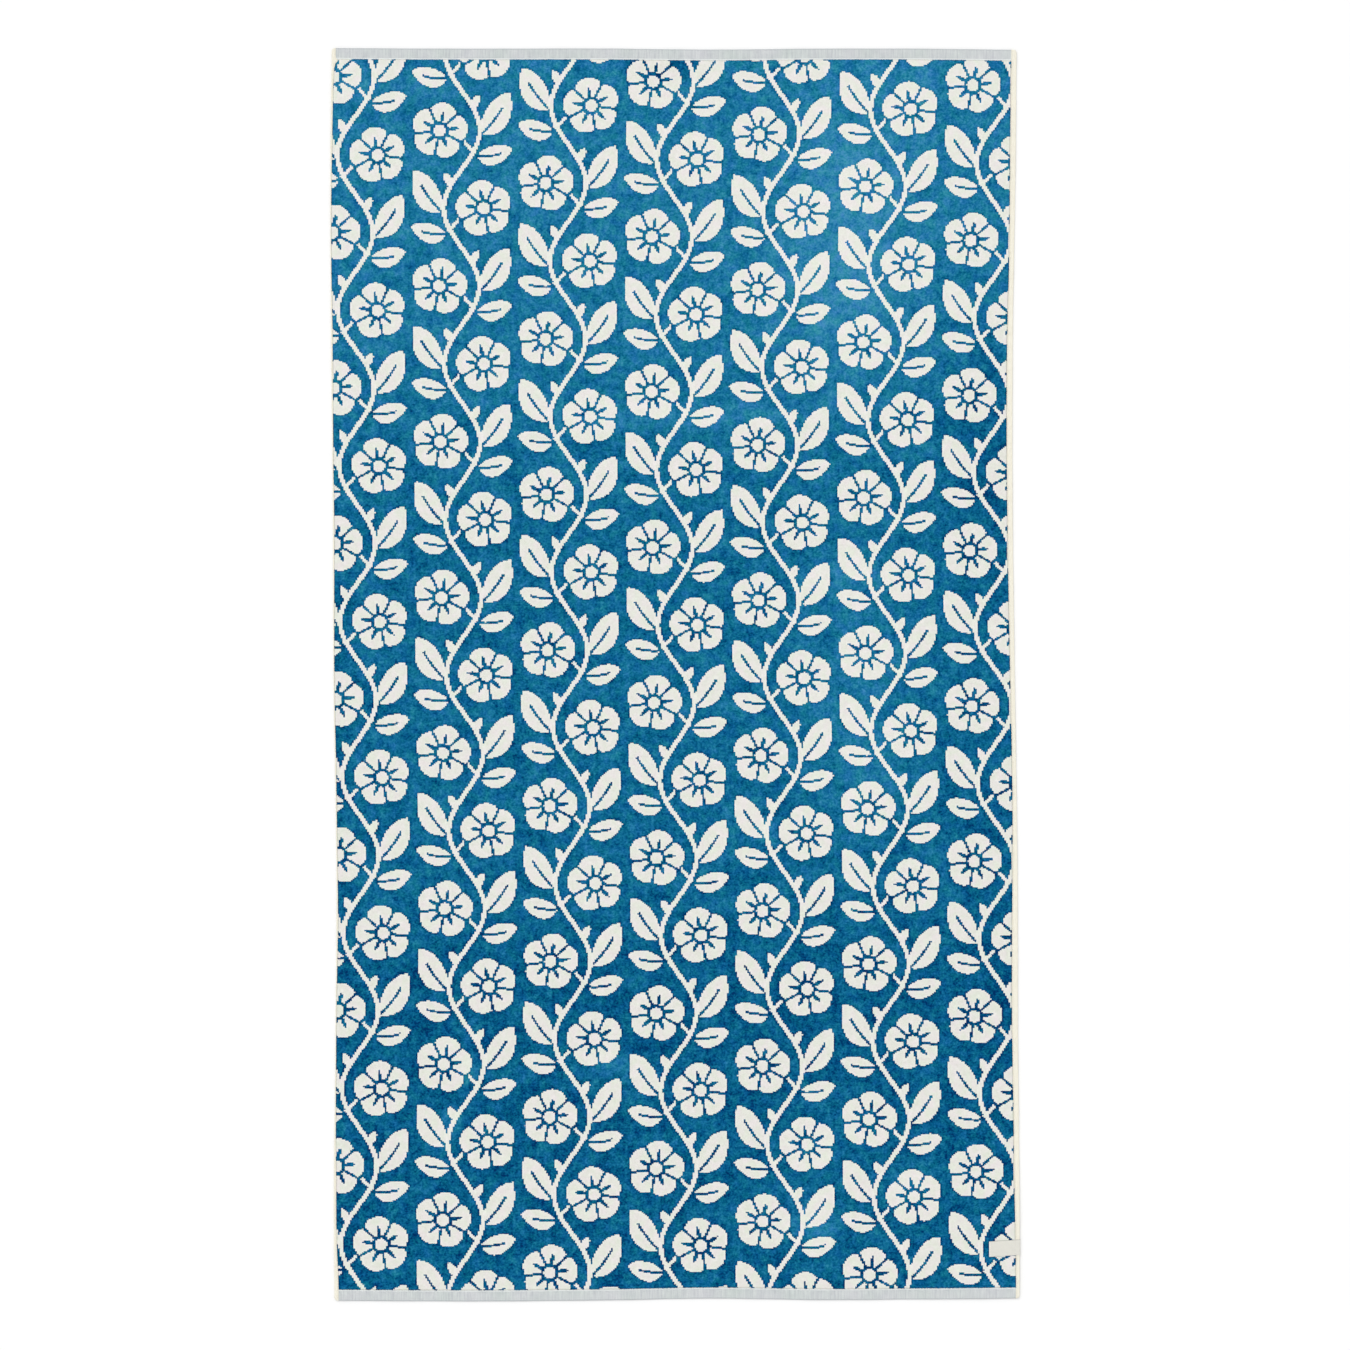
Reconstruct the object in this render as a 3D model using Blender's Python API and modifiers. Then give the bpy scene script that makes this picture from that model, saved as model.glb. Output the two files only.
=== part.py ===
"""A velour beach towel lying face up, with a small blank label folded round its right edge.

The cloth lies on the plane Z = 0: X runs across it, Y along it, and the pile faces +Z.
"""

import math
from bisect import bisect_right
from collections import namedtuple

import bmesh
import bpy

MM = 0.001

# Cloth: the nominal width and length between straight edges
WIDTH = 965 * MM
LENGTH = 1771 * MM
PILE_THICK = 3.0 * MM
CELL = 31 * MM
CORNER_R = 7 * MM
RIM_ROUND = 0.7 * MM

# Sewn side hems, which show the flat selvedge
LEFT_HEM_WIDE = 4 * MM
RIGHT_HEM_WIDE = 8.5 * MM
HEM_THICK = 2.2 * MM
STITCH_THICK = 1.9 * MM
STITCH_IN = 1.3 * MM
PILE_STEP = 2 * MM

# Flat woven band across each end, which has no pile
BAND_DEEP = 15.5 * MM
BAND_THICK = 1.8 * MM

# How far each long edge stands outside WIDTH / 2, in millimetres, at places along the towel
SideRow = namedtuple("SideRow", "along left right")
SIDE_EDGES = [
    SideRow(-882, -1.1, 4.1),
    SideRow(-741, -0.1, 4.1),
    SideRow(-515, -2.5, 1.9),
    SideRow(-276, -3.9, 1.2),
    SideRow(-8, 0.1, -2.6),
    SideRow(247, 1.3, -5.8),
    SideRow(486, 3.8, -5.4),
    SideRow(718, 4.8, -1.6),
    SideRow(884, 2.6, -0.1),
]

# How far each end stands outside LENGTH / 2, in millimetres, at places across the towel
EndRow = namedtuple("EndRow", "across bottom top")
END_EDGES = [
    EndRow(-480, -1.3, -0.3),
    EndRow(-300, -0.3, -1.1),
    EndRow(-100, -1.7, -0.9),
    EndRow(50, -4.3, -2.4),
    EndRow(200, -2.2, -1.1),
    EndRow(340, -3.1, -1.1),
    EndRow(480, -4.5, -2.7),
]

# Low swells where the cloth doesn't lie quite down: centre, half sizes and rise in millimetres,
# and the turn of the long side from +X in degrees
Swell = namedtuple("Swell", "across along half_long half_wide turn rise")
SWELLS = [
    Swell(245, 670, 190, 120, 80, 2.6),
    Swell(20, 370, 400, 75, 3, 1.9),
    Swell(325, -30, 520, 95, 88, 2.5),
    Swell(-230, 690, 160, 110, 70, 1.8),
    Swell(-425, 130, 420, 60, 91, 1.7),
    Swell(-250, -60, 180, 80, -18, 1.5),
    Swell(-190, -470, 240, 85, 32, 2.0),
    Swell(225, -705, 150, 75, 12, 2.2),
]

# Label: a woven strip folded round the right hem near the bottom end
LABEL_THICK = 0.4 * MM
LABEL_TALL = 21.8 * MM
LABEL_REACH = 43.5 * MM
LABEL_UNDER = 11 * MM
LABEL_ALONG = -810 * MM
LABEL_TURN = 3.4
LABEL_GAP = 0.43 * MM
LABEL_CLEAR = LABEL_GAP + LABEL_THICK / 2
LABEL_CURL = 0.7 * MM

# The cloth's rise over the label's under leaf: level over it, then fading out
RISE = LABEL_GAP + LABEL_THICK
RISE_LEVEL = CELL + 3 * MM
RISE_FADE = 80 * MM

# Colours as linear light, and roughness
BLUE_PILE = (0.007, 0.144, 0.287, 1.0)
LABEL_GREY = (0.775, 0.745, 0.715, 1.0)
PILE_ROUGHNESS = 0.95
LABEL_ROUGHNESS = 0.7


def soft_step(t):
    """Rise from 0 to 1 with a level start and end, for t from 0 to 1."""
    t = min(max(t, 0.0), 1.0)
    return t * t * (3 - 2 * t)


def curve_value(rows, at, column):
    """Read a column on a smooth curve through the rows, whose first column is the place, all in mm."""
    places = [row[0] * MM for row in rows]
    values = [getattr(row, column) * MM for row in rows]
    last = len(rows) - 1

    def slope(k):
        before, after = max(k - 1, 0), min(k + 1, last)
        return (values[after] - values[before]) / (places[after] - places[before])

    at = min(max(at, places[0]), places[-1])
    k = min(bisect_right(places, at) - 1, last - 1)
    span = places[k + 1] - places[k]
    t = (at - places[k]) / span
    swing = (slope(k) * (1 - t) - slope(k + 1) * t) * span * t * (1 - t)
    straight = values[k] + (values[k + 1] - values[k]) * t
    ease = (values[k + 1] - values[k]) * t * (1 - t) * (2 * t - 1)
    return straight + swing + ease


def hem_profile(wide):
    """Places in from a long edge and the cloth's thickness there, across the hem and up to the pile."""
    stitch = wide - STITCH_IN
    return [
        (0.0, HEM_THICK),
        (stitch * 0.5, HEM_THICK),
        (stitch, STITCH_THICK),
        (wide, HEM_THICK),
        (wide + PILE_STEP, PILE_THICK),
    ]


def band_profile():
    """Places in from an end and the cloth's thickness there, across the band and up to the pile."""
    return [
        (0.0, BAND_THICK),
        (CORNER_R * 0.4, BAND_THICK),
        (CORNER_R * 0.8, BAND_THICK),
        (BAND_DEEP, BAND_THICK),
        (BAND_DEEP + PILE_STEP, PILE_THICK),
    ]


def profile_value(profile, inward):
    """Thickness at a distance in from the edge, straight between the profile's places."""
    for (near, thick_near), (far, thick_far) in zip(profile, profile[1:]):
        if inward <= far:
            return thick_near + (thick_far - thick_near) * (inward - near) / (far - near)
    return profile[-1][1]


LEFT_HEM = hem_profile(LEFT_HEM_WIDE)
RIGHT_HEM = hem_profile(RIGHT_HEM_WIDE)
END_BAND = band_profile()


def cloth_thickness(across, along):
    """Thickness of the flat cloth: a hem runs past the end bands, and the bands cut off the pile."""
    in_left = WIDTH / 2 + across
    in_right = WIDTH / 2 - across
    side = profile_value(LEFT_HEM, in_left) if across < 0 else profile_value(RIGHT_HEM, in_right)
    if in_left < LEFT_HEM_WIDE or in_right < RIGHT_HEM_WIDE:
        return side
    return min(side, profile_value(END_BAND, LENGTH / 2 - abs(along)))


def grid_lines(half, low_profile, high_profile):
    """Grid lines from -half to half: each profile's places at its edge, and even cells between."""
    low = [-half + inward for inward, _ in low_profile]
    high = [half - inward for inward, _ in reversed(high_profile)]
    span = high[0] - low[-1]
    count = round(span / CELL)
    middle = [low[-1] + span * k / count for k in range(1, count)]
    return low + middle + high


def round_corner(across, along):
    """Draw a point near a corner in, so that the square corner cell fills a quarter disc."""
    s = 1 - (WIDTH / 2 - abs(across)) / CORNER_R
    t = 1 - (LENGTH / 2 - abs(along)) / CORNER_R
    if s <= 0 or t <= 0:
        return across, along
    x = WIDTH / 2 - CORNER_R + CORNER_R * s * math.sqrt(1 - t * t / 2)
    y = LENGTH / 2 - CORNER_R + CORNER_R * t * math.sqrt(1 - s * s / 2)
    return math.copysign(x, across), math.copysign(y, along)


def edge_stretch(across, along):
    """Shift a point of the flat cloth so that its four edges follow the tables."""
    left = curve_value(SIDE_EDGES, along, "left")
    right = curve_value(SIDE_EDGES, along, "right")
    bottom = curve_value(END_EDGES, across, "bottom")
    top = curve_value(END_EDGES, across, "top")
    to_right = across / WIDTH + 0.5
    to_top = along / LENGTH + 0.5
    x = across + right * to_right - left * (1 - to_right)
    y = along + top * to_top - bottom * (1 - to_top)
    return x, y


def swell_height(swell, x, y):
    """Height of one low swell: (1 - r squared) squared inside its oval, nothing outside."""
    turn = math.radians(swell.turn)
    dx = x - swell.across * MM
    dy = y - swell.along * MM
    long_way = (dx * math.cos(turn) + dy * math.sin(turn)) / (swell.half_long * MM)
    wide_way = (dy * math.cos(turn) - dx * math.sin(turn)) / (swell.half_wide * MM)
    inside = max(1 - long_way**2 - wide_way**2, 0.0)
    return swell.rise * MM * inside**2


def label_rise(x, y):
    """The cloth's rise over the label's under leaf."""
    out_x = max(WIDTH / 2 - LABEL_REACH - RISE_LEVEL - x, 0.0)
    out_y = max(abs(y - LABEL_ALONG) - LABEL_TALL / 2 - RISE_LEVEL, 0.0)
    return RISE * (1 - soft_step(math.hypot(out_x, out_y) / RISE_FADE))


def underside(x, y):
    """Height of the cloth's underside, which is nought where it lies on the surface."""
    return label_rise(x, y) + sum(swell_height(swell, x, y) for swell in SWELLS)


def grid_object(name, columns, rows, place):
    """Make an object from a grid whose point in column i and row j stands at place(i, j)."""
    bm = bmesh.new()
    bmesh.ops.create_grid(bm, x_segments=columns - 1, y_segments=rows - 1, size=1)
    cells = []
    for vert in bm.verts:
        i = round((vert.co.x + 1) / 2 * (columns - 1))
        j = round((vert.co.y + 1) / 2 * (rows - 1))
        cells.append((i, j))
        vert.co = place(i, j)
    mesh = bpy.data.meshes.new(name)
    bm.to_mesh(mesh)
    bm.free()
    mesh.shade_smooth()
    return bpy.data.objects.new(name, mesh), cells


def add_thickness(piece, thick, offset, group=""):
    """Give an open surface its thickness, scaled by a vertex group where one is named."""
    solid = piece.modifiers.new("thickness", "SOLIDIFY")
    solid.thickness = thick
    solid.offset = offset
    solid.use_even_offset = True
    solid.vertex_group = group


def round_rim(piece, width):
    """Round the rim that the thickness left square."""
    bevel = piece.modifiers.new("rim", "BEVEL")
    bevel.width = width
    bevel.segments = 2
    bevel.limit_method = "ANGLE"
    bevel.angle_limit = math.radians(60)


def towel_sheet():
    """The cloth: one sheet on its swells, thick in the pile and thinner at hems and bands."""
    columns = grid_lines(WIDTH / 2, LEFT_HEM, RIGHT_HEM)
    rows = grid_lines(LENGTH / 2, END_BAND, END_BAND)

    def place(i, j):
        x, y = edge_stretch(*round_corner(columns[i], rows[j]))
        return x, y, underside(x, y)

    sheet, cells = grid_object("towel_sheet", len(columns), len(rows), place)
    thick = sheet.vertex_groups.new(name="thick")
    for index, (i, j) in enumerate(cells):
        thick.add([index], cloth_thickness(columns[i], rows[j]) / PILE_THICK, "REPLACE")
    add_thickness(sheet, PILE_THICK, 1.0, "thick")
    round_rim(sheet, RIM_ROUND)
    return sheet


def label_path(edge):
    """Middle line of the label, as (x, z): front leaf, hem, round the edge, under leaf."""
    over_pile = RISE + PILE_THICK + LABEL_CLEAR
    over_hem = RISE + HEM_THICK + LABEL_CLEAR
    free_end = edge - LABEL_REACH
    step_from = edge - RIGHT_HEM_WIDE - PILE_STEP * 0.75
    step_long = 5 * MM
    bend = RIM_ROUND + LABEL_CLEAR
    turn_x = edge - RIM_ROUND

    path = []
    leaf_steps = 6
    for k in range(leaf_steps):
        t = k / leaf_steps
        path.append((free_end + (step_from - free_end) * t, over_pile + LABEL_CURL * (1 - t) ** 3))
    for k in range(5):
        t = k / 4
        path.append((step_from + step_long * t, over_pile + (over_hem - over_pile) * soft_step(t)))
    for turn_z, first in ((over_hem - bend, 90), (RISE + RIM_ROUND, 0)):
        for k in range(5):
            angle = math.radians(first - 90 * k / 4)
            path.append((turn_x + bend * math.cos(angle), turn_z + bend * math.sin(angle)))
    path.append((edge - LABEL_UNDER, LABEL_THICK / 2))
    return path


def side_label():
    """The label: a thin folded strip, a little askew, with its leaves over and under the hem."""
    edge = WIDTH / 2 + curve_value(SIDE_EDGES, LABEL_ALONG, "right")
    path = label_path(edge)
    rows = 5
    slant = math.tan(math.radians(LABEL_TURN))

    def place(i, j):
        x, z = path[i]
        y = LABEL_ALONG + LABEL_TALL * (j / (rows - 1) - 0.5) + (x - edge) * slant
        return x, y, z

    label, _ = grid_object("side_label", len(path), rows, place)
    add_thickness(label, LABEL_THICK, 0.0)
    return label


def finish(piece, colour, roughness):
    """Give a piece its own plain material."""
    material = bpy.data.materials.new(piece.name)
    material.use_nodes = True
    shader = material.node_tree.nodes["Principled BSDF"]
    shader.inputs["Base Color"].default_value = colour
    shader.inputs["Roughness"].default_value = roughness
    shader.inputs["Metallic"].default_value = 0.0
    piece.data.materials.append(material)


def main():
    """Empty the scene and build the towel."""
    for old in list(bpy.data.objects):
        bpy.data.objects.remove(old, do_unlink=True)
    towel = bpy.data.collections.new("towel")
    bpy.context.scene.collection.children.link(towel)
    sheet = towel_sheet()
    finish(sheet, BLUE_PILE, PILE_ROUGHNESS)
    towel.objects.link(sheet)
    label = side_label()
    finish(label, LABEL_GREY, LABEL_ROUGHNESS)
    towel.objects.link(label)


main()
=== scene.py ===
"""Looks of a flat velour beach towel that lies face up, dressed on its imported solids.

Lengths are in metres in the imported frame: X runs across the towel, Y along it and Z up. A flat place on
the cloth, before its edges are drawn to their real lines, is given as across and along, and the distance
in from the nearest edge is called inward.
"""

from __future__ import annotations

import logging
import math
from dataclasses import dataclass, field
from enum import Enum
from typing import Any, Sequence, Union

import bpy
import numpy as np
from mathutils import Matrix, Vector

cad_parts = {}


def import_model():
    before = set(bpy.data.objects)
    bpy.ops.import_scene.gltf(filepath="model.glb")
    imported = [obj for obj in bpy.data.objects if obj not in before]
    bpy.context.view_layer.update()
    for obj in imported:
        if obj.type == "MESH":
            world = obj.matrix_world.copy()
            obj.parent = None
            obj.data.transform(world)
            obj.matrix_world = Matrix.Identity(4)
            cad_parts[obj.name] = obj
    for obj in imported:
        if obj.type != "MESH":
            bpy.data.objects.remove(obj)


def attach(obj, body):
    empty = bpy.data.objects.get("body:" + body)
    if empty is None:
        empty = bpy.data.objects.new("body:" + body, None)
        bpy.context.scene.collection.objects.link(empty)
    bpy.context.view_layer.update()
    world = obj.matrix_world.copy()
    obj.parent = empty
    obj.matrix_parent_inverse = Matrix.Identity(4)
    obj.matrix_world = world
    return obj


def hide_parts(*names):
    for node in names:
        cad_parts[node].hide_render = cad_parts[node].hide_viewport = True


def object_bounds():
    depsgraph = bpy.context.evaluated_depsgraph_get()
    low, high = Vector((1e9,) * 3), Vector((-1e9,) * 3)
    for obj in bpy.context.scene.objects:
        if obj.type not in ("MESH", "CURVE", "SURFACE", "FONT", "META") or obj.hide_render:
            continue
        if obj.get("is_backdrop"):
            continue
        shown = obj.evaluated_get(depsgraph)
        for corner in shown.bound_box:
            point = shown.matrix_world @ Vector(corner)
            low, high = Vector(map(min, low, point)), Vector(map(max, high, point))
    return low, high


Array = np.ndarray
Colour = tuple[float, float, float]

LOG = logging.getLogger("towel")
MM = 0.001

# The cloth's nominal size between straight edges, as its solid has it
WIDTH = 965 * MM
LENGTH = 1771 * MM

# Sizes that several pieces share: the end bands' depth, the least of a hem that shows, and the label's
# middle along the towel, its reach in from the right edge and its width
BAND_DEEP = 15.5 * MM
LEAST_HEM = 1.2 * MM
LABEL_ALONG = -808.5 * MM
LABEL_REACH = 43.5 * MM
LABEL_TALL = 21.8 * MM

# How far each long edge stands outside WIDTH / 2: along, left, right, in millimetres
SIDE_EDGES = np.array(
    [
        (-882, -1.1, 4.1),
        (-741, -0.1, 4.1),
        (-515, -2.5, 1.9),
        (-276, -3.9, 1.2),
        (-8, 0.1, -2.6),
        (247, 1.3, -5.8),
        (486, 3.8, -5.4),
        (718, 4.8, -1.6),
        (884, 2.6, -0.1),
    ]
)

# How far each end stands outside LENGTH / 2: across, bottom, top, in millimetres
END_EDGES = np.array(
    [
        (-480, -1.3, -0.3),
        (-300, -0.3, -1.1),
        (-100, -1.7, -0.9),
        (50, -4.3, -2.4),
        (200, -2.2, -1.1),
        (340, -3.1, -1.1),
        (480, -4.5, -2.7),
    ]
)

# How wide the left hem shows from above: along, width, in millimetres
LEFT_HEM = np.array(
    [
        (-886, 5.8),
        (-863, 6.0),
        (-795, 3.9),
        (-727, 3.5),
        (-660, 2.3),
        (-560, 1.4),
        (-456, 1.2),
        (-355, 2.3),
        (-250, 1.4),
        (-118, 1.6),
        (-50, 1.2),
        (18, 1.2),
        (153, 1.8),
        (221, 1.9),
        (300, 1.4),
        (424, 2.0),
        (492, 2.2),
        (570, 1.2),
        (640, 1.3),
        (760, 2.5),
        (845, 3.1),
        (856, 3.9),
        (863, 5.5),
        (868, 8.6),
        (872, 6.0),
        (886, 5.6),
    ]
)

# How wide the right hem shows from above: along, width, in millimetres
RIGHT_HEM = np.array(
    [
        (-886, 5.4),
        (-866, 5.2),
        (-800, 6.0),
        (-730, 7.3),
        (-600, 7.6),
        (-470, 8.5),
        (-330, 7.9),
        (-190, 6.1),
        (-60, 6.1),
        (60, 6.9),
        (220, 7.6),
        (360, 8.3),
        (480, 8.0),
        (560, 6.9),
        (640, 7.1),
        (760, 8.0),
        (850, 7.5),
        (886, 7.5),
    ]
)


@dataclass(frozen=True)
class Oval:
    """One soft oval patch of the cloth: centre and half sizes in millimetres, turn in degrees, amount."""

    across: float
    along: float
    half_long: float
    half_wide: float
    turn: float
    amount: float


# Low swells that the solid has too, with their rise in millimetres
SWELLS = (
    Oval(245, 670, 190, 120, 80, 2.6),
    Oval(20, 370, 400, 75, 3, 1.9),
    Oval(325, -30, 520, 95, 88, 2.5),
    Oval(-230, 690, 160, 110, 70, 1.8),
    Oval(-425, 130, 420, 60, 91, 1.7),
    Oval(-250, -60, 180, 80, -18, 1.5),
    Oval(-190, -470, 240, 85, 32, 2.0),
    Oval(225, -705, 150, 75, 12, 2.2),
)

# Slight ridges and troughs on them, with their rise in millimetres
WRINKLES = (
    Oval(60, 352, 330, 14, 1, 0.7),
    Oval(-60, 318, 260, 18, -2, -0.5),
    Oval(212, 170, 150, 15, 87, 0.8),
    Oval(372, 20, 420, 16, 89, -0.7),
    Oval(330, 640, 200, 18, 84, 0.6),
    Oval(-318, -560, 150, 15, 72, 0.7),
    Oval(-105, -555, 90, 17, 20, 0.6),
    Oval(255, -740, 130, 18, 14, 0.7),
    Oval(-60, 640, 170, 16, 68, -0.5),
    Oval(-300, 60, 190, 17, -24, 0.5),
    Oval(-120, -260, 210, 15, 38, -0.5),
    Oval(110, -330, 170, 16, -35, 0.5),
)

# Painted light and shade of the pile's lay, from the bottom end to the top: along, share from dark to
# light
NAP_SHADING_ALONG = np.array(
    [
        (-886, 0.33),
        (-560, 0.32),
        (-420, 0.32),
        (-290, 0.41),
        (-50, 0.43),
        (250, 0.45),
        (480, 0.56),
        (700, 0.60),
        (886, 0.58),
    ]
)

# Patches of painted light where the pile's lay leans to the light, and of painted shade where it leans
# away
NAP_SHADING = (
    Oval(240, 610, 300, 150, 85, 0.24),
    Oval(250, -20, 300, 130, 90, 0.15),
    Oval(440, 330, 330, 92, 90, -0.17),
    Oval(445, -260, 460, 92, 90, -0.09),
    Oval(-478, -60, 450, 32, 90, -0.12),
    Oval(330, 850, 90, 70, 0, 0.12),
    Oval(-470, 850, 80, 60, 0, 0.12),
    Oval(-15, 864, 95, 46, 0, -0.32),
    Oval(20, 366, 330, 28, 1, 0.18),
    Oval(230, 140, 110, 40, 5, 0.16),
    Oval(290, -130, 95, 30, 60, 0.12),
    Oval(128, -220, 32, 24, 45, 0.30),
    Oval(-292, -554, 30, 22, 90, 0.30),
    Oval(-318, -640, 50, 24, 80, 0.28),
    Oval(-85, -556, 64, 34, 5, 0.26),
    Oval(195, -776, 54, 42, 0, 0.34),
    Oval(322, -725, 64, 34, 25, 0.32),
    Oval(200, -700, 200, 110, 80, 0.08),
)


def linear(red: int, green: int, blue: int) -> Colour:
    """Turn a screen colour of 0 to 255 into linear light.

    Args:
        red: Red on the screen.
        green: Green on the screen.
        blue: Blue on the screen.

    Returns:
        The three values as linear light.
    """
    screen = np.array([red, green, blue]) / 255
    light = np.where(screen <= 0.04045, screen / 12.92, ((screen + 0.055) / 1.055) ** 2.4)
    return tuple(float(value) for value in light)


def soft_step(t: Array) -> Array:
    """Rise from 0 to 1 with a level start and end: t squared times 3 - 2t, for t held to 0 to 1."""
    t = np.clip(t, 0.0, 1.0)
    return t * t * (3 - 2 * t)


def curve_through(rows: Array, at: Array, column: int) -> Array:
    """Read a column on a smooth curve through a table's rows, whose first column is the place.

    Between two rows the curve is the cubic that has their values, and at each row the slope of the line
    between its neighbours.

    Args:
        rows: The table, in millimetres.
        at: Places in metres.
        column: Which column to read.

    Returns:
        The column's values at those places, in metres.
    """
    places, values = rows[:, 0] * MM, rows[:, column] * MM
    last = len(places) - 1
    before = np.maximum(np.arange(last + 1) - 1, 0)
    after = np.minimum(np.arange(last + 1) + 1, last)
    slopes = (values[after] - values[before]) / (places[after] - places[before])
    at = np.clip(at, places[0], places[-1])
    k = np.clip(np.searchsorted(places, at, side="right") - 1, 0, last - 1)
    span = places[k + 1] - places[k]
    t = (at - places[k]) / span
    step = values[k + 1] - values[k]
    swing = (slopes[k] * (1 - t) - slopes[k + 1] * t) * span * t * (1 - t)
    return values[k] + step * t + swing + step * t * (1 - t) * (2 * t - 1)


def ovals_at(ovals: Sequence[Oval], x: Array, y: Array) -> Array:
    """Add up soft ovals: each is its amount times (1 - r squared) squared, and nothing outside r = 1.

    Args:
        ovals: The ovals.
        x: Places across, in metres.
        y: Places along, in metres.

    Returns:
        The sum at each place, in the ovals' own unit.
    """
    total = np.zeros(np.broadcast(x, y).shape)
    for oval in ovals:
        turn = math.radians(oval.turn)
        dx, dy = x / MM - oval.across, y / MM - oval.along
        long_way = (dx * math.cos(turn) + dy * math.sin(turn)) / oval.half_long
        wide_way = (dy * math.cos(turn) - dx * math.sin(turn)) / oval.half_wide
        total = total + oval.amount * np.maximum(1 - long_way**2 - wide_way**2, 0) ** 2
    return total


def rough_line(count: int, smooth: int, seed: int) -> Array:
    """A fixed uneven line from -1 to 1: seeded draws, each averaged with its neighbours.

    Args:
        count: How many values.
        smooth: Over how many neighbours each is averaged.
        seed: Which line.

    Returns:
        The values.
    """
    draws = np.random.default_rng(seed).uniform(-1, 1, count + smooth)
    line = np.convolve(draws, np.hanning(smooth + 2)[1:-1], "same")[:count]
    return line / np.abs(line).max()


def lumps(count: int, scales: Sequence[tuple[int, float]], seed: int) -> Array:
    """Add up uneven lines of several scales.

    Args:
        count: How many values.
        scales: Over how many neighbours each line is averaged, and how high it is.
        seed: The first line's seed, with the next ones after it.

    Returns:
        The values.
    """
    return sum(rough_line(count, smooth, seed + k) * high for k, (smooth, high) in enumerate(scales))


def bell(off: Array, wide: float) -> Array:
    """A bell curve: e to the power of minus the square of off / wide."""
    return np.exp(-((off / wide) ** 2))


@dataclass(frozen=True)
class LaidCloth:
    """The cloth as it lies: where each flat place comes to, and how high its underside is there."""

    corner: float = 4.5 * MM
    label_rise: float = 0.83 * MM
    rise_level: float = 34 * MM
    rise_fade: float = 80 * MM
    edge_lift: float = 0.3 * MM
    edge_reach: float = 30 * MM
    side_waves: tuple[float, float] = (61, 23)
    end_waves: tuple[float, float] = (57, 19)

    def drawn_in(self, across: Array, along: Array) -> tuple[Array, Array]:
        """Round the corners, by filling a quarter disc with each square corner.

        A square's s and t come to s times root(1 - t squared / 2) and t times root(1 - s squared / 2).

        Args:
            across: Flat places across.
            along: Flat places along.

        Returns:
            The places with round corners.
        """
        s = 1 - (WIDTH / 2 - np.abs(across)) / self.corner
        t = 1 - (LENGTH / 2 - np.abs(along)) / self.corner
        x = WIDTH / 2 - self.corner + self.corner * s * np.sqrt(1 - np.clip(t, 0, 1) ** 2 / 2)
        y = LENGTH / 2 - self.corner + self.corner * t * np.sqrt(1 - np.clip(s, 0, 1) ** 2 / 2)
        near = (s > 0) & (t > 0)
        return np.where(near, np.copysign(x, across), across), np.where(near, np.copysign(y, along), along)

    def placed(self, across: Array, along: Array) -> tuple[Array, Array]:
        """Draw flat places out to the real edges, each edge's stand-out fading to the far edge.

        Args:
            across: Flat places across.
            along: Flat places along.

        Returns:
            X and Y.
        """
        across, along = self.drawn_in(across, along)
        to_right, to_top = across / WIDTH + 0.5, along / LENGTH + 0.5
        right, left = curve_through(SIDE_EDGES, along, 2), curve_through(SIDE_EDGES, along, 1)
        top, bottom = curve_through(END_EDGES, across, 2), curve_through(END_EDGES, across, 1)
        x = across + right * to_right - left * (1 - to_right)
        y = along + top * to_top - bottom * (1 - to_top)
        return x, y

    def edge_waves(self, x: Array, y: Array) -> Array:
        """Slight waves in which the edges lift: two sines multiplied along each edge, fading inward.

        Args:
            x: X.
            y: Y.

        Returns:
            How far the cloth lifts there.
        """
        side = 1 - soft_step((WIDTH / 2 - np.abs(x)) / self.edge_reach)
        end = 1 - soft_step((LENGTH / 2 - np.abs(y)) / self.edge_reach)
        short, long = self.side_waves
        along_side = 1 + np.sin(short * y + 2 * np.sin(9 * x)) * np.sin(long * y + 1)
        short, long = self.end_waves
        along_end = 1 + np.sin(short * x + 2 * np.sin(3 * y)) * np.sin(long * x + 2)
        return self.edge_lift * (side * along_side + end * along_end)

    def underside(self, x: Array, y: Array) -> Array:
        """Height of the underside: the swells, wrinkles, edge waves and the rise over the label's leaf.

        Args:
            x: X.
            y: Y.

        Returns:
            Z of the underside, never under the surface that the towel lies on.
        """
        out_x = np.maximum(WIDTH / 2 - LABEL_REACH - self.rise_level - x, 0)
        out_y = np.maximum(np.abs(y - LABEL_ALONG) - LABEL_TALL / 2 - self.rise_level, 0)
        over_label = self.label_rise * (1 - soft_step(np.hypot(out_x, out_y) / self.rise_fade))
        folds = (ovals_at(SWELLS, x, y) + ovals_at(WRINKLES, x, y)) * MM
        return over_label + np.maximum(folds, 0) + self.edge_waves(x, y)

    def points(self, across: Array, along: Array, height: Array) -> Array:
        """Place points that stand at a height over the underside.

        Args:
            across: Flat places across.
            along: Flat places along.
            height: Heights over the underside.

        Returns:
            The points, with X, Y and Z last.
        """
        x, y = self.placed(across, along)
        return np.stack([x, y, self.underside(x, y) + height], axis=-1)


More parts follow.
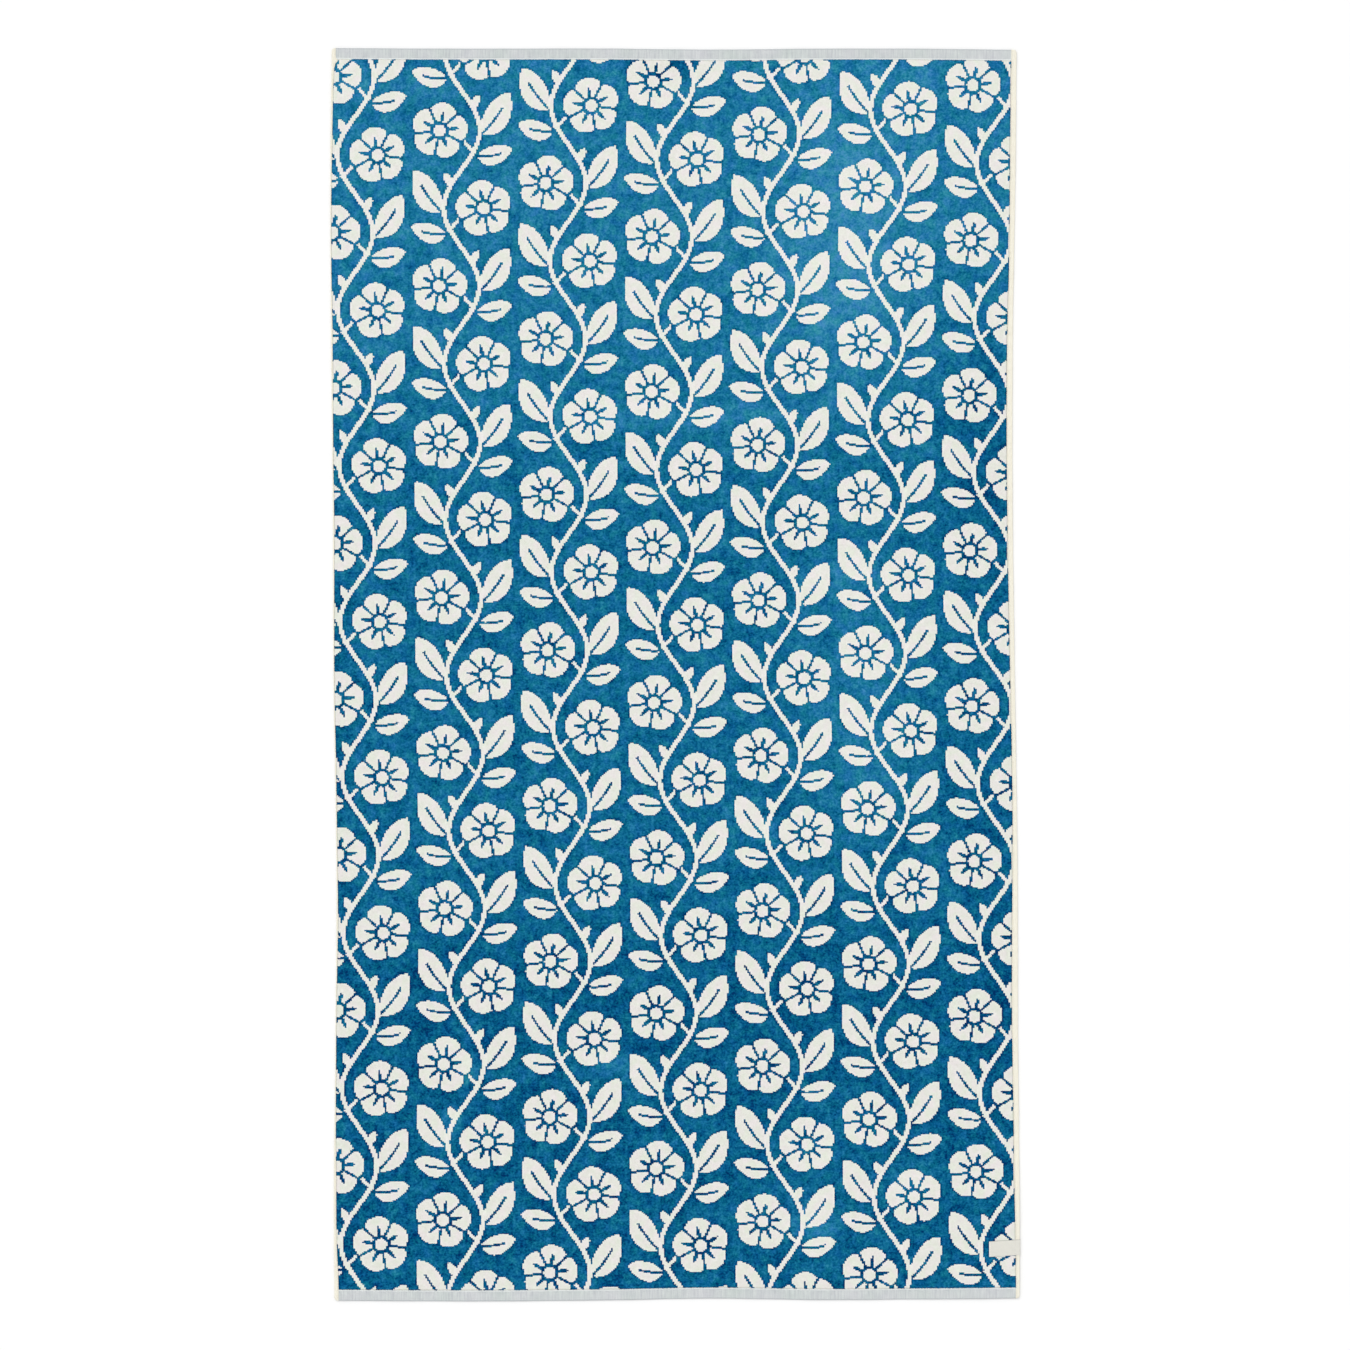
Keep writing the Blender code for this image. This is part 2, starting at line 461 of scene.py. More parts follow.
def mesh_object(name: str, points: Array, faces: Array, flat: Array) -> bpy.types.Object:
    """Make an object from corner numbers, smooth shaded, with its flat places as a UV map.

    Args:
        name: The object's name.
        points: Points, one to a row.
        faces: Numbers of each face's corners, one face to a row.
        flat: The flat place of each face's each corner.

    Returns:
        The object, linked to the scene.
    """
    count, sides = faces.shape
    mesh = bpy.data.meshes.new(name)
    mesh.vertices.add(len(points))
    mesh.vertices.foreach_set("co", points.astype(np.float32).ravel())
    mesh.loops.add(count * sides)
    mesh.loops.foreach_set("vertex_index", faces.astype(np.int32).ravel())
    mesh.polygons.add(count)
    mesh.polygons.foreach_set("loop_start", np.arange(0, count * sides, sides, dtype=np.int32))
    layer = mesh.uv_layers.new(name="flat")
    layer.data.foreach_set("uv", flat.astype(np.float32).ravel())
    mesh.update(calc_edges=True)
    mesh.validate()
    mesh.shade_smooth()
    piece = bpy.data.objects.new(name, mesh)
    bpy.context.scene.collection.objects.link(piece)
    return piece


def grid_faces(rows: int, columns: int) -> tuple[Array, Array, Array]:
    """Corners of every cell of a grid, anticlockwise where rows run to the right and columns up.

    Args:
        rows: How many lines of points.
        columns: How many points in each line.

    Returns:
        Rows of the corners, columns of the corners, and their numbers, each with one cell to a row.
    """
    i, j = np.meshgrid(np.arange(rows - 1), np.arange(columns - 1), indexing="ij")
    i, j = i.ravel()[:, None], j.ravel()[:, None]
    corner_i = i + np.array([[0, 1, 1, 0]])
    corner_j = j + np.array([[0, 0, 1, 1]])
    return corner_i, corner_j, corner_i * columns + corner_j


def grid_object(
    name: str, points: Array, flat: tuple[Array, Array], turned: bool = False
) -> bpy.types.Object:
    """Make an object of one grid of points.

    Args:
        name: The object's name.
        points: The grid's points, with X, Y and Z last.
        flat: The two numbers of each point's flat place.
        turned: Whether the faces are turned over, so that they point outwards.

    Returns:
        The object, linked to the scene.
    """
    corner_i, corner_j, numbers = grid_faces(*points.shape[:2])
    places = np.stack(np.broadcast_arrays(*flat), axis=-1)[corner_i, corner_j]
    if turned:
        numbers, places = numbers[:, ::-1], places[:, ::-1]
    return mesh_object(name, points.reshape(-1, 3), numbers, places)


def attribute(piece: bpy.types.Object, name: str, values: Array) -> None:
    """Give each of a piece's points a number that its finish reads by name."""
    layer = piece.data.attributes.new(name, "FLOAT", "POINT")
    layer.data.foreach_set("value", values.astype(np.float32).ravel())


def thicken(piece: bpy.types.Object, thick: float, offset: float) -> None:
    """Give an open surface its thickness.

    Args:
        piece: The surface.
        thick: The thickness.
        offset: -1 to grow inwards, 0 both ways.
    """
    solid = piece.modifiers.new("thickness", "SOLIDIFY")
    solid.thickness = thick
    solid.offset = offset
    solid.use_even_offset = True


class Wire:
    """One number in a finish's nodes: Python's operators on it add Math nodes."""

    def __init__(self, maker: "NodeMaker", socket: bpy.types.NodeSocket) -> None:
        """Wrap an output socket of a maker's tree."""
        self.maker = maker
        self.socket = socket

    def math(self, operation: str, *values: "Value") -> "Wire":
        """Add one Math node.

        Args:
            operation: Blender's name for it.
            values: What its inputs get, in order.

        Returns:
            Its result.
        """
        made = self.maker.node("ShaderNodeMath", {"operation": operation}, dict(enumerate(values)))
        return Wire(self.maker, made.outputs[0])

    def __add__(self, other: "Value") -> "Wire":
        """Sum."""
        return self.math("ADD", self, other)

    __radd__ = __add__

    def __sub__(self, other: "Value") -> "Wire":
        """Difference."""
        return self.math("SUBTRACT", self, other)

    def __rsub__(self, other: "Value") -> "Wire":
        """Difference, the other way round."""
        return self.math("SUBTRACT", other, self)

    def __mul__(self, other: "Value") -> "Wire":
        """Product."""
        return self.math("MULTIPLY", self, other)

    __rmul__ = __mul__

    def __truediv__(self, other: "Value") -> "Wire":
        """Quotient."""
        return self.math("DIVIDE", self, other)

    def __neg__(self) -> "Wire":
        """Negative."""
        return self.math("MULTIPLY", self, -1.0)

    def __abs__(self) -> "Wire":
        """Size without sign."""
        return self.math("ABSOLUTE", self)

    def least(self, other: "Value") -> "Wire":
        """The smaller of two."""
        return self.math("MINIMUM", self, other)

    def most(self, other: "Value") -> "Wire":
        """The larger of two."""
        return self.math("MAXIMUM", self, other)

    def floor(self) -> "Wire":
        """The whole number below."""
        return self.math("FLOOR", self)

    def root(self) -> "Wire":
        """Square root."""
        return self.math("SQRT", self)

    def sin(self) -> "Wire":
        """Sine of radians."""
        return self.math("SINE", self)

    def cos(self) -> "Wire":
        """Cosine of radians."""
        return self.math("COSINE", self)

    def held(self) -> "Wire":
        """Held to 0 to 1."""
        return self.most(0.0).least(1.0)

    def wave(self, pitch: float) -> "Wire":
        """A sine that repeats at every pitch."""
        return (self * (2 * math.pi / pitch)).sin()

    def ridge(self, half: float) -> "Wire":
        """1 at nought, falling straight to 0 at half to either side."""
        return (1 - abs(self) / half).held()

    def past(self, start: float, over: float) -> "Wire":
        """0 up to start, then rising straight to 1 over a way."""
        return ((self - start) / over).held()


Value = Union[float, Wire]


class NodeMaker:
    """Adds a finish's nodes to its material."""

    # Places of a colour Mix node's sockets among those of its other kinds
    MIX_FACTOR, MIX_LOW, MIX_HIGH, MIX_COLOUR = 0, 6, 7, 2
    NOISE_ROUGHNESS = 0.6
    SHEEN_ROUGHNESS = 0.5

    def __init__(self, name: str) -> None:
        """Start a new material with no nodes in it.

        Args:
            name: The material's name.
        """
        self.material = bpy.data.materials.new(name)
        self.material.use_nodes = True
        self.tree = self.material.node_tree
        self.tree.nodes.clear()

    def node(self, kind: str, settings: dict[str, Any], inputs: dict[Any, Any]) -> bpy.types.Node:
        """Add one node.

        Args:
            kind: The node's type.
            settings: Its properties, which are set first.
            inputs: What each input gets, by its number or name: a number, tuple, Wire or socket.

        Returns:
            The node.
        """
        made = self.tree.nodes.new(kind)
        for key, value in settings.items():
            setattr(made, key, value)
        for key, value in inputs.items():
            if isinstance(value, Wire):
                value = value.socket
            if isinstance(value, bpy.types.NodeSocket):
                self.tree.links.new(value, made.inputs[key])
            else:
                made.inputs[key].default_value = value
        return made

    def flat_place(self) -> tuple[Wire, Wire]:
        """Read the piece's flat UV map.

        Returns:
            Its two numbers, in millimetres.
        """
        mapped = self.node("ShaderNodeUVMap", {"uv_map": "flat"}, {})
        parts = self.node("ShaderNodeSeparateXYZ", {}, {0: mapped.outputs[0]})
        return Wire(self, parts.outputs[0]) / MM, Wire(self, parts.outputs[1]) / MM

    def point_value(self, name: str) -> Wire:
        """A number kept on the piece's points."""
        read = self.node("ShaderNodeAttribute", {"attribute_name": name}, {})
        return Wire(self, read.outputs["Fac"])

    def noise(self, x: Value, y: Value, size: float, detail: float = 2.0, stretch: float = 1.0) -> Wire:
        """Soft noise round nought on a flat place.

        Args:
            x: First number of the place, in millimetres.
            y: Second number of the place, in millimetres.
            size: Size of its blotches, in millimetres.
            detail: How much finer noise is on it.
            stretch: How many times longer it is in the first direction.

        Returns:
            The noise, mostly from -0.5 to 0.5.
        """
        place = self.node("ShaderNodeCombineXYZ", {}, {0: x / (size * stretch), 1: y / size})
        made = self.node(
            "ShaderNodeTexNoise",
            {"noise_dimensions": "2D"},
            {
                "Vector": place.outputs[0],
                "Scale": 1.0,
                "Detail": detail,
                "Roughness": self.NOISE_ROUGHNESS,
            },
        )
        return Wire(self, made.outputs["Fac"]) - 0.5

    def blend(self, amount: Value, low: Any, high: Any) -> bpy.types.NodeSocket:
        """Mix two colours.

        Args:
            amount: From 0, all low, to 1, all high.
            low: A colour or a colour socket.
            high: A colour or a colour socket.

        Returns:
            The mixed colour's socket.
        """
        low, high = ((*c, 1.0) if isinstance(c, tuple) else c for c in (low, high))
        inputs = {self.MIX_FACTOR: amount, self.MIX_LOW: low, self.MIX_HIGH: high}
        return self.node("ShaderNodeMix", {"data_type": "RGBA"}, inputs).outputs[self.MIX_COLOUR]

    def surface(self, inputs: dict[str, Any]) -> bpy.types.Material:
        """Close the tree with one surface.

        Args:
            inputs: What the inputs of the surface get.

        Returns:
            The material.
        """
        shader = self.node("ShaderNodeBsdfPrincipled", {}, inputs)
        self.node("ShaderNodeOutputMaterial", {}, {"Surface": shader.outputs[0]})
        return self.material


def mottled(level: Value, parts: Sequence[Wire], shares: Sequence[float]) -> Wire:
    """Add shares of several mottlings to a level, held to 0 to 1.

    Args:
        level: The level.
        parts: The mottlings.
        shares: How much of each is added.

    Returns:
        The mottled level.
    """
    for part, share in zip(parts, shares):
        level = level + part * share
    return level.held()


@dataclass(frozen=True)
class ClothFinish:
    """What every finish of a cloth or thread has.

    The relief is how deep a height of 1 is in metres, the sheen how strongly fibres catch light from the
    side, and the gloss how strongly the surface mirrors light.
    """

    name: str = "cloth"
    relief: float = 0.12 * MM
    roughness: float = 0.85
    sheen: float = 0.06
    gloss: float = 0.15

    def surface(self, maker: NodeMaker, colour: Any, height: Wire) -> bpy.types.Material:
        """Close a maker's tree with a cloth surface.

        Args:
            maker: The maker.
            colour: Colour socket or colour.
            height: The relief of the yarns, round nought.

        Returns:
            The material.
        """
        yarns = {"Strength": 1.0, "Distance": self.relief, "Height": height}
        bump = maker.node("ShaderNodeBump", {}, yarns)
        return maker.surface(
            {
                "Base Color": colour,
                "Roughness": self.roughness,
                "Normal": bump.outputs[0],
                "Sheen Weight": self.sheen,
                "Sheen Roughness": maker.SHEEN_ROUGHNESS,
                "Specular IOR Level": self.gloss,
            }
        )


@dataclass(frozen=True)
class Leaf:
    """One leaf: its root in millimetres, turn in degrees, half length, half width and bend."""

    across: float
    along: float
    turn: float
    half_long: float
    half_wide: float
    bend: float


@dataclass(frozen=True)
class VinePattern:
    """Trailing vines with round flowers and leaves, in upright rows of two mirrored halves.

    Each row is pitch wide and lies shift further down than the one on its left. Its vine is a cosine
    of that reach, and each half of the cosine carries one flower in its bend and three leaves. The vein
    of a petal is its middle's way out, half length and half width. Sizes are in millimetres. Shapes are
    given by the distance from their outline, under nought inside.
    """

    pitch: float = 150
    half: float = 110
    reach: float = 25
    shift: float = 75
    stem: float = 3.1
    start: tuple[float, float] = (40, 30)
    leaves: tuple[Leaf, ...] = (
        Leaf(27, -6, 44, 35, 18.3, 0.003),
        Leaf(22, -36, -6, 24, 14.2, 0.006),
        Leaf(15, 30, 75, 11, 5.5, -0.006),
    )
    rib: float = 1.9
    rib_share: float = 0.4
    rib_least: float = 10
    flower: tuple[float, float] = (-31.5, 0)
    clear: float = 44.3
    petals: int = 5
    petal_turn: float = 0.5
    petal_out: float = 22.8
    petal_round: float = 16.8
    petal_long: float = 0.86
    petal_part: float = 1.9
    vein: tuple[float, float, float] = (17.5, 10.5, 2.8)
    eye: float = 8.4
    eye_gap: float = 4.6
    stalk: Leaf = Leaf(20, -32, 143, 12, 2.3, -0.006)
    stalk_end: float = 38.7

    def pointed(self, a: Wire, b: Wire, half_long: float, half_wide: float) -> Wire:
        """Distance from a pointed oval along a: two arcs that meet at its ends.

        Args:
            a: Place along it.
            b: Place across it.
            half_long: Half its length.
            half_wide: Half its width.

        Returns:
            The distance.
        """
        radius = (half_long**2 + half_wide**2) / (2 * half_wide)
        off = abs(b) + (radius - half_wide)
        return (a * a + off * off).root() - radius

    def turned(self, x: Wire, y: Wire, leaf: Leaf) -> tuple[Wire, Wire]:
        """Place along and across a leaf from its root, which bends off as the square of the way.

        Args:
            x: Place across the half.
            y: Place along the half.
            leaf: The leaf.

        Returns:
            The two places.
        """
        cos, sin = math.cos(math.radians(leaf.turn)), math.sin(math.radians(leaf.turn))
        dx, dy = x - leaf.across, y - leaf.along
        a, b = dx * cos + dy * sin, dy * cos - dx * sin
        return a, b - a * a * leaf.bend

    def leaf(self, x: Wire, y: Wire, leaf: Leaf) -> Wire:
        """Distance from a leaf: a bent pointed oval, less the rib that runs up it where it is wide.

        Args:
            x: Place across the half.
            y: Place along the half.
            leaf: The leaf.

        Returns:
            The distance.
        """
        a, b = self.turned(x, y, leaf)
        a = a - leaf.half_long
        body = self.pointed(a, b, leaf.half_long, leaf.half_wide)
        if leaf.half_wide < self.rib_least:
            return body
        return body.most(-(abs(b) - self.rib).most(a - leaf.half_long * self.rib_share))

    def blossom(self, x: Wire, y: Wire, out: Wire) -> Wire:
        """Distance from the flower: round petals set about an eye, parted from each other and ribbed.

        The plane is folded into one petal's sector, so that one petal stands for all.

        Args:
            x: Place across, from the flower's middle.
            y: Place along, from the flower's middle.
            out: Distance from its middle.

        Returns:
            The distance.
        """
        sector = 2 * math.pi / self.petals
        turns = (y.math("ARCTAN2", y, x) + self.petal_turn) / sector
        angle = (turns - turns.floor() - 0.5) * sector
        a, b = out * angle.cos(), out * angle.sin()
        beside = b * self.petal_long
        from_middle = a - self.petal_out
        petal = (from_middle * from_middle + beside * beside).root() - self.petal_round
        border = a * math.sin(sector / 2) - abs(b) * math.cos(sector / 2)
        petal = petal.most(self.petal_part - border)
        middle, half_long, half_wide = self.vein
        petal = petal.most(-self.pointed(a - middle, b, half_long, half_wide))
        petal = petal.most(self.eye + self.eye_gap - out)
        return petal.least(out - self.eye)

    def distance(self, across: Wire, along: Wire) -> Wire:
        """Distance from the nearest outline of the pattern.

        Args:
            across: Flat place across, in millimetres from the left edge.
            along: Flat place along, in millimetres from the bottom end.

        Returns:
            The distance in millimetres, under nought on the light pile.
        """
        across, along = across + self.start[0], along + self.start[1]
        row = (across / self.pitch).floor()
        from_row = across - (row + 0.5) * self.pitch
        along = along + row * self.shift
        number = (along / self.half + 0.5).floor()
        odd = number - (number / 2).floor() * 2
        x = from_row * (1 - odd * 2)
        y = along - number * self.half

        turn = y * (math.pi / self.half)
        slope = turn.sin() * (self.reach * math.pi / self.half)
        shapes = abs(x - turn.cos() * self.reach) / (slope * slope + 1).root() - self.stem
        for leaf in self.leaves:
            shapes = shapes.least(self.leaf(x, y, leaf))
        shapes = shapes.least(self.leaf(-x, y + self.half, self.leaves[0]))

        flower_x, flower_y = x - self.flower[0], y - self.flower[1]
        out = (flower_x * flower_x + flower_y * flower_y).root()
        shapes = shapes.most(self.clear - out).least(self.blossom(flower_x, flower_y, out))
        a, b = self.turned(x, y, self.stalk)
        ends = abs(a - self.stalk.half_long) - self.stalk.half_long
        return shapes.least((abs(b) - self.stalk.half_wide).most(ends).most(self.stalk_end - out))


@dataclass(frozen=True)
class PileFinish(ClothFinish):
    """Short cut pile in two colours: the light pattern in stitches, mottled dark ground, and painted light
    and shade of the pile's lay.

    Sizes are in millimetres. The dark ground takes shares of cloud, blotch, grain and a painted shade line
    beside an outline, and the cream takes shares of the painted nap_shading, blotch, grain and a painted
    highlight line inside an outline.
    """

    name: str = "pile"
    relief: float = 0.5 * MM
    roughness: float = 0.95
    sheen: float = 0.03
    gloss: float = 0.0
    pattern: VinePattern = field(default_factory=VinePattern)
    stitch: float = 2.4
    course: float = 1.9
    fuzz: float = 1.2
    fuzz_size: float = 1.1
    crisp: float = 0.01
    cloud_size: float = 34
    blotch_size: float = 9
    grain_size: float = 2.8
    grain_stretch: float = 1.2
    hue_size: float = 15
    fibre_size: float = 0.9
    blotch_relief: float = 0.6
    beside_outline: float = 1.4
    ground_shares: tuple[float, ...] = (0.45, 0.8, 0.95, -0.2)
    cream_level: float = 0.4
    cream_shares: tuple[float, ...] = (0.42, 0.6, 0.55, 0.3)
    hue_swing: float = 2.7
    deep: Colour = linear(0, 46, 96)
    teal: Colour = linear(0, 151, 172)
    violet: Colour = linear(0, 132, 191)
    pale_teal: Colour = linear(66, 150, 174)
    pale_violet: Colour = linear(66, 134, 190)
    rose_low: Colour = linear(217, 211, 209)
    rose_high: Colour = linear(238, 233, 232)
    straw_low: Colour = linear(209, 214, 199)
    straw_high: Colour = linear(231, 236, 224)

    def material(self) -> bpy.types.Material:
        """Make the material.

        Returns:
            The material, which reads the piece's flat map and its nap_shading and upper values.
        """
        maker = NodeMaker(self.name)
        across, along = maker.flat_place()
        cloud = maker.noise(across, along, self.cloud_size, detail=1.0)
        blotch = maker.noise(across, along, self.blotch_size)
        grain = maker.noise(across, along, self.grain_size, stretch=self.grain_stretch)
        waver = maker.noise(across, along + 900, self.fuzz_size) * self.fuzz
        sway = maker.noise(across + 700, along, self.fuzz_size) * self.fuzz
        number = ((along + sway) / self.course).floor()
        offset = (number / 2 - (number / 2).floor()).math("SIGN") / 2
        column = (((across + waver) / self.stitch + offset).floor() + 0.5 - offset) * self.stitch
        distance = self.pattern.distance(column, (number + 0.5) * self.course)
        upper = maker.point_value("upper")
        light = (0.5 - distance / self.crisp).held()
        shown = light * (upper * 2 - 1) + (1 - upper)

        # Painted light and shade of the pile's lay, kept on the points, which lightens and darkens both
        # colours
        nap_shading = maker.point_value("nap_shading")
        # Painted shade: a darker line in the dark ground just beside each outline, where the two colours
        # of pile meet
        beside = (distance - self.beside_outline).ridge(self.beside_outline)
        tone = mottled(nap_shading, (cloud, blotch, grain, beside), self.ground_shares)
        hue_noise = maker.noise(across + 300, along, self.hue_size, detail=4.0)
        hue = (0.5 + hue_noise * self.hue_swing).held()
        middle = maker.blend(hue, self.teal, self.violet)
        pale = maker.blend(hue, self.pale_teal, self.pale_violet)
        ground = maker.blend(tone, self.deep, maker.blend(tone * tone, middle, pale))
        # Painted highlight: a lighter line in the cream just inside each outline
        inside = (distance + self.beside_outline).ridge(self.beside_outline)
        cream_tone = mottled(self.cream_level, (nap_shading, blotch, grain, inside), self.cream_shares)
        straw = maker.blend(cream_tone, self.straw_low, self.straw_high)
        cream = maker.blend(hue, straw, maker.blend(cream_tone, self.rose_low, self.rose_high))
        colour = maker.blend(shown, ground, cream)
        fibres = maker.noise(across, along, self.fibre_size, detail=1.0)
        return self.surface(maker, colour, fibres + blotch * self.blotch_relief)


@dataclass(frozen=True)
class BandFinish(ClothFinish):
    """Flat woven end band: pale grey between violet and green, streaked across, light at the pile, and
    with painted shade along its outer fold.

    Sizes are in millimetres, and its tone takes shares of streak, cloud and weave.
    """

    name: str = "end_band"
    violet_low: Colour = linear(198, 199, 206)
    violet_high: Colour = linear(226, 227, 229)
    green_low: Colour = linear(190, 198, 198)
    green_high: Colour = linear(218, 227, 222)
    white: Colour = linear(236, 240, 239)
    # The colour of the painted shade along the outer fold
    dark: Colour = linear(180, 186, 189)
    white_wide: float = 2.2
    white_fade: float = 0.6
    fold_wide: float = 1.5
    fold_fade: float = 0.8
    fold_share: float = 0.7
    streak_size: float = 2.2
    streak_long: float = 0.08
    cloud_size: float = 14
    tint_size: float = 45
    tint_swing: float = 1.4
    tone_shares: tuple[float, ...] = (1.4, 0.5, 0.05)
    row_pitch: float = 0.9
    end_pitch: float = 0.7

    def material(self) -> bpy.types.Material:
        """Make the material.

        Returns:
            The material, whose flat map holds the way along the band and the way in from its edge.
        """
        maker = NodeMaker(self.name)
        way, inward = maker.flat_place()
        streak = maker.noise(way, inward * self.streak_long, self.streak_size, detail=3.0)
        cloud = maker.noise(way, inward, self.cloud_size, detail=1.0)
        weave = inward.wave(self.row_pitch) * way.wave(self.end_pitch)
        tone = mottled(0.5, (streak, cloud, weave), self.tone_shares)
        tint_noise = maker.noise(way, inward, self.tint_size, detail=1.0)
        tint = (0.5 + tint_noise * self.tint_swing).held()
        violet = maker.blend(tone, self.violet_low, self.violet_high)
        body = maker.blend(tint, violet, maker.blend(tone, self.green_low, self.green_high))
        near_pile = inward.past(BAND_DEEP / MM - self.white_wide, self.white_fade)
        # Painted shade: a darker line along the outer fold, where the band rolls away from the light
        near_fold = (-abs(inward)).past(-self.fold_wide, self.fold_fade) * self.fold_share
        colour = maker.blend(near_fold, maker.blend(near_pile, body, self.white), self.dark)
        return self.surface(maker, colour, weave + streak)


@dataclass(frozen=True)
class HemFinish(ClothFinish):
    """Sewn side hem: cream yarn in a fine plain weave, with painted shade along its seam, where the hem
    dips.

    Sizes are in millimetres, and its tone takes shares of cloud, grain and weave.
    """

    name: str = "side_hem"
    low: Colour = linear(244, 238, 220)
    high: Colour = linear(254, 251, 236)
    # The colour of the painted shade along the seam
    seam: Colour = linear(232, 226, 208)
    seam_half: float = 0.45
    seam_share: float = 0.5
    cloud_size: float = 6
    grain_size: float = 1.4
    tone_level: float = 0.55
    tone_shares: tuple[float, ...] = (0.7, 0.5, 0.06)
    row_pitch: float = 0.8
    end_pitch: float = 0.7

    def material(self) -> bpy.types.Material:
        """Make the material.

        Returns:
            The material, whose flat map holds the way along the hem and the way in from its seam.
        """
        maker = NodeMaker(self.name)
        way, from_seam = maker.flat_place()
        weave = way.wave(self.row_pitch) * from_seam.wave(self.end_pitch)
        cloud = maker.noise(way, from_seam, self.cloud_size)
        grain = maker.noise(way, from_seam, self.grain_size, detail=1.0)
        tone = mottled(self.tone_level, (cloud, grain, weave), self.tone_shares)
        # Painted shade: a darker line along the seam, where the hem dips
        at_seam = from_seam.ridge(self.seam_half) * self.seam_share
        colour = maker.blend(at_seam, maker.blend(tone, self.low, self.high), self.seam)
        return self.surface(maker, colour, weave + grain)


@dataclass(frozen=True)
class LabelFinish(ClothFinish):
    """Blank woven label: pale satin tape with firm edges, the upper one darkened by painted shade, and a
    folded end.

    Sizes are in millimetres, and its tone takes shares of cloud and weave.
    """

    name: str = "label_tape"
    relief: float = 0.05 * MM
    roughness: float = 0.6
    sheen: float = 0.05
    low: Colour = linear(225, 223, 214)
    high: Colour = linear(238, 236, 227)
    edge: Colour = linear(242, 240, 233)
    # The colour of the painted shade along the tape's upper edge
    shade: Colour = linear(186, 184, 176)
    firm_wide: float = 1.1
    firm_share: float = 0.5
    shade_wide: float = 0.8
    shade_share: float = 0.8
    edge_fade: float = 0.3
    end_fold: float = 2.2
    end_fade: float = 0.4
    cloud_size: float = 7
    tone_shares: tuple[float, ...] = (0.6, 0.08)
    weft_pitch: float = 0.32
    warp_pitch: float = 0.45
    warp_slant: float = 0.2865

    def material(self) -> bpy.types.Material:
        """Make the material.

        Returns:
            The material, whose flat map holds the way along the tape and across it from its middle.
        """
        maker = NodeMaker(self.name)
        way, beside = maker.flat_place()
        weft = beside.wave(self.weft_pitch)
        warp = (way + beside * self.warp_slant).wave(self.warp_pitch)
        cloud = maker.noise(way, beside, self.cloud_size)
        tone = mottled(0.5, (cloud, weft * warp), self.tone_shares)
        half_tall = LABEL_TALL / MM / 2
        firm = abs(beside).past(half_tall - self.firm_wide, self.edge_fade) * self.firm_share
        folded = (-way).past(-self.end_fold, self.end_fade)
        woven = maker.blend(firm.most(folded), maker.blend(tone, self.low, self.high), self.edge)
        # Painted shade: a thin dark line along the tape's upper edge, as of a shadow there
        turned = beside.past(half_tall - self.shade_wide, self.edge_fade) * self.shade_share
        colour = maker.blend(turned, woven, self.shade)
        return self.surface(maker, colour, weft + warp * 0.5)


@dataclass(frozen=True)
class ThreadFinish(ClothFinish):
    """Sewing thread: cotton of one colour, twisted at a pitch in millimetres, with painted shade in the
    grooves of its twist.
    """

    relief: float = 0.04 * MM
    roughness: float = 0.7
    sheen: float = 0.05
    colour: Colour = linear(244, 240, 224)
    # The colour of the painted shade in the twist's grooves
    shade: Colour = linear(222, 216, 198)
    twist_pitch: float = 0.55
    twist_lay: float = 0.525

    def material(self) -> bpy.types.Material:
        """Make the material.

        Returns:
            The material, whose flat map holds the way along the thread and round it.
        """
        maker = NodeMaker(self.name)
        way, round_it = maker.flat_place()
        twist = (way + round_it * self.twist_lay).wave(self.twist_pitch)
        # Painted shade: the twist's grooves are darker
        colour = maker.blend((0.5 + twist * 0.5).held(), self.shade, self.colour)
        return self.surface(maker, colour, twist)


@dataclass(frozen=True)
class FloorFinish:
    """Plain pale floor."""

    name: str = "floor"
    colour: Colour = (0.92, 0.92, 0.92)
    roughness: float = 0.9
    gloss: float = 0.2

    def material(self) -> bpy.types.Material:
        """Make the material.

        Returns:
            The material: one matt colour, the same all over.
        """
        colour = (*self.colour, 1.0)
        inputs = {"Base Color": colour, "Roughness": self.roughness, "Specular IOR Level": self.gloss}
        return NodeMaker(self.name).surface(inputs)


class Side(Enum):
    """A long edge, by its sign in X."""

    LEFT = -1
    RIGHT = 1

    def hem_shows(self, along: Array) -> Array:
        """How wide the hem shows at places along the towel."""
        rows = LEFT_HEM if self is Side.LEFT else RIGHT_HEM
        return np.maximum(curve_through(rows, along, 1), LEAST_HEM)


class End(Enum):
    """A short end, by its sign in Y."""

    BOTTOM = -1
    TOP = 1


